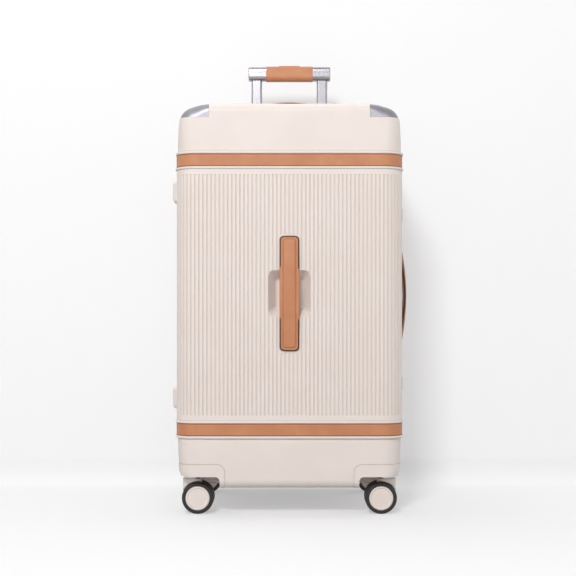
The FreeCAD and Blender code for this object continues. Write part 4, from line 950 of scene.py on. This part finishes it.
def even_cloth(work, mouth, inward):
    """Remesh a tub into even squares, open at its mouth."""
    bmesh.ops.holes_fill(work, edges=[edge for edge in work.edges if edge.is_boundary])
    bmesh.ops.recalc_face_normals(work, faces=work.faces)
    rough = bpy.data.meshes.new("rough_cloth")
    work.to_mesh(rough)
    work.free()
    holder = bpy.data.objects.new("rough_cloth", rough)
    remesh = holder.modifiers.new("even", "REMESH")
    remesh.mode = "VOXEL"
    remesh.voxel_size = CLOTH_STEP
    even = bmesh.new()
    even.from_mesh(final_mesh(holder))
    across_mouth = [face for face in even.faces if abs(face.normal.y) > MOUTH_FACING]
    cover = [face for face in across_mouth
             if (face.calc_center_median().y - mouth) * inward < CLOTH_STEP / 2]
    bmesh.ops.delete(even, geom=cover, context="FACES")
    return even


def line(name, node, body, mouth, inward):
    """Stretched cloth over the inside of one half of the case."""
    cloth = even_cloth(inner_skin(node, mouth), mouth, inward)
    cloth.normal_update()
    for vertex in cloth.verts:
        swell = noise.noise(vertex.co / CLOTH_PATCH) * CLOTH_SWELL
        vertex.co -= vertex.normal * (CLOTH_OFF + swell)
    bmesh.ops.reverse_faces(cloth, faces=cloth.faces)
    made = new_piece(name, cloth, body, [finishes["lining"]])
    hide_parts(node)


line("lid_lining_cloth", "lid_lining", "lid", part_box("lid_lining")[1].y, -1)
line("body_lining_cloth", "body_lining", "case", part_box("body_lining")[0].y, 1)

# %% [markdown]
# ## Packing straps
# Two webbing straps hold the clothes against the back. Flat webbing is modelled directly, because
# a cloth simulation would only wrinkle it away: a ribbon with a slight crown, sewn down at both ends.
# Each strap gets the buckle that joins its two halves: a moulded frame with a bar across its middle,
# over which both halves are led.

# %% Make the packing straps
WEB_THICK = 1.1 * MM
WEB_CROWN = 0.25 * MM
WEB_OFF = 0.6 * MM
WEB_STEPS = 48
WEB_ACROSS = 8
WEB_RIPPLE = 0.3 * MM
RIPPLE_TURN = 1.7


def webbing(work, middle_x, half_width, back, low, high):
    """One ribbon that hangs flat on the lining, as two skins and their edges."""
    rims = []
    for thick in (0.0, WEB_THICK):
        rows = []
        for row in range(WEB_STEPS + 1):
            height = low + (high - low) * row / WEB_STEPS
            ripple = WEB_RIPPLE * math.sin(row * RIPPLE_TURN) * math.sin(math.pi * row / WEB_STEPS)
            cells = []
            for cell in range(WEB_ACROSS + 1):
                share = 2 * cell / WEB_ACROSS - 1
                crown = WEB_CROWN * (1 - share * share) if thick else 0.0
                y = back - WEB_OFF - thick - crown - ripple
                cells.append(work.verts.new((middle_x + half_width * share, y, height)))
            rows.append(cells)
        for lower, upper in zip(rows, rows[1:]):
            for k in range(WEB_ACROSS):
                work.faces.new([lower[k], lower[k + 1], upper[k + 1], upper[k]])
        left, right = [row[0] for row in rows], [row[-1] for row in rows]
        rims.append(rows[0][:-1] + right[:-1] + rows[-1][:0:-1] + left[:0:-1])
    bridge(work, *rims)


strap_low, strap_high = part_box("pack_straps")
strap_back = strap_high.y - CLOTH_OFF
strap_xs = sorted({round(vertex.co.x, 4) for vertex in nodes["pack_straps"].data.vertices})
strap_spans = [((left + right) / 2, (right - left) / 2) for left, right in (strap_xs[:2], strap_xs[2:])]
ribbons = bmesh.new()
for middle_x, half_width in strap_spans:
    webbing(ribbons, middle_x, half_width, strap_back, strap_low.z, strap_high.z)
bmesh.ops.recalc_face_normals(ribbons, faces=ribbons.faces)
ribbon_piece = new_piece("pack_strap_webbing", ribbons, "case", [finishes["webbing"]])
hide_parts("pack_straps")
print("two straps of", round((strap_high.z - strap_low.z) / MM), "mm at", strap_xs)

# %% Buckle the packing straps
BUCKLE_WIDER = 6 * MM
BUCKLE_HALF = 13 * MM
BUCKLE_BAR = 3.2 * MM
BUCKLE_THICK = 3.6 * MM
BUCKLE_SOFT = 0.8 * MM


def bar(work, low, high):
    """One straight bar of a buckle, as a box with soft edges."""
    place = Matrix.Translation((low + high) / 2) @ Matrix.Diagonal((*(high - low), 1.0))
    made = bmesh.ops.create_cube(work, size=1.0, matrix=place)
    edges = list({edge for vertex in made["verts"] for edge in vertex.link_edges})
    bmesh.ops.bevel(work, geom=edges, offset=BUCKLE_SOFT, segments=3, profile=0.5, affect="EDGES")


def buckle(work, middle_x, half_width, face, height):
    """A frame of two uprights and three bars that lies on a strap."""
    outer = half_width + BUCKLE_WIDER / 2
    near = face - BUCKLE_THICK
    for side in (-1, 1):
        left, right = sorted((middle_x + side * outer, middle_x + side * (outer - BUCKLE_BAR)))
        bar(work, Vector((left, near, height - BUCKLE_HALF)), Vector((right, face, height + BUCKLE_HALF)))
    for share in (-1, 0, 1):
        level = height + share * (BUCKLE_HALF - BUCKLE_BAR / 2)
        bar(work, Vector((middle_x - outer + BUCKLE_SOFT, near, level - BUCKLE_BAR / 2)),
            Vector((middle_x + outer - BUCKLE_SOFT, face, level + BUCKLE_BAR / 2)))


strap_face = strap_back - WEB_OFF - WEB_THICK
buckles = bmesh.new()
for middle_x, half_width in strap_spans:
    buckle(buckles, middle_x, half_width, strap_face, (strap_low.z + strap_high.z) / 2)
new_piece("pack_strap_buckles", buckles, "case", [finishes["dial_plastic"]])
print("two buckles at y", round(strap_face, 4))

# %% [markdown]
# ## Dial digits
# Each dial of the lock shows the digits 0 to 9 round its rim. They could be painted on by a texture,
# but raised ones also survive in the exported mesh. A text object draws each digit once, and the
# ten meshes are set round all three dials, each flat against the rim.

# %% Number the lock dials
DIGIT_SIZE = 2.6 * MM
DIGIT_RAISE = 0.06 * MM
DIGIT_COUNT = 10


def digit_mesh(digit):
    """One digit as a thin raised mesh, centred on its own origin."""
    drawn = bpy.data.curves.new("digit", "FONT")
    drawn.body = str(digit)
    drawn.align_x = "CENTER"
    drawn.align_y = "CENTER"
    drawn.size = DIGIT_SIZE
    drawn.extrude = DIGIT_RAISE
    return final_mesh(bpy.data.objects.new("digit", drawn))


def numbered(number, digits):
    """The ten digits round one dial, upright when the case stands."""
    low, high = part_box(f"lock_dial_{number}")
    middle, radius = (low + high) / 2, (high.x - low.x) / 2
    up = Vector(UP)
    work = bmesh.new()
    for k, mesh in enumerate(digits):
        turn = math.tau * k / DIGIT_COUNT
        outward = Vector((math.cos(turn), math.sin(turn), 0))
        axes = Matrix((up.cross(outward), up, outward)).transposed().to_4x4()
        placed = mesh.copy()
        placed.transform(Matrix.Translation(middle + outward * radius) @ axes)
        work.from_mesh(placed)
        bpy.data.meshes.remove(placed)
    new_piece(f"lock_dial_{number}_digits", work, f"dial_{number}", [finishes["digit_paint"]])


finishes["digit_paint"] = moulded(
    "digit_paint", screen(226, 222, 214), screen(214, 209, 200), screen(236, 233, 227),
    roughness=0.5, grain=0.4 * MM, depth=0.02 * MM, edge=0.2 * MM)
digits = [digit_mesh(digit) for digit in range(DIGIT_COUNT)]
for number in (1, 2, 3):
    numbered(number, digits)
print("three dials with", DIGIT_COUNT, "digits each")

# %% [markdown]
# ## Size
# The dressed case has to be as large as the engineering model and no larger. Both boxes are
# gathered side by side, and the box of the dressed case is printed.

# %% Size and finish
size = {"cad": [list(corner) for corner in cad_box], "visual": [list(corner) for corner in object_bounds()]}
print("visual box", size["visual"])
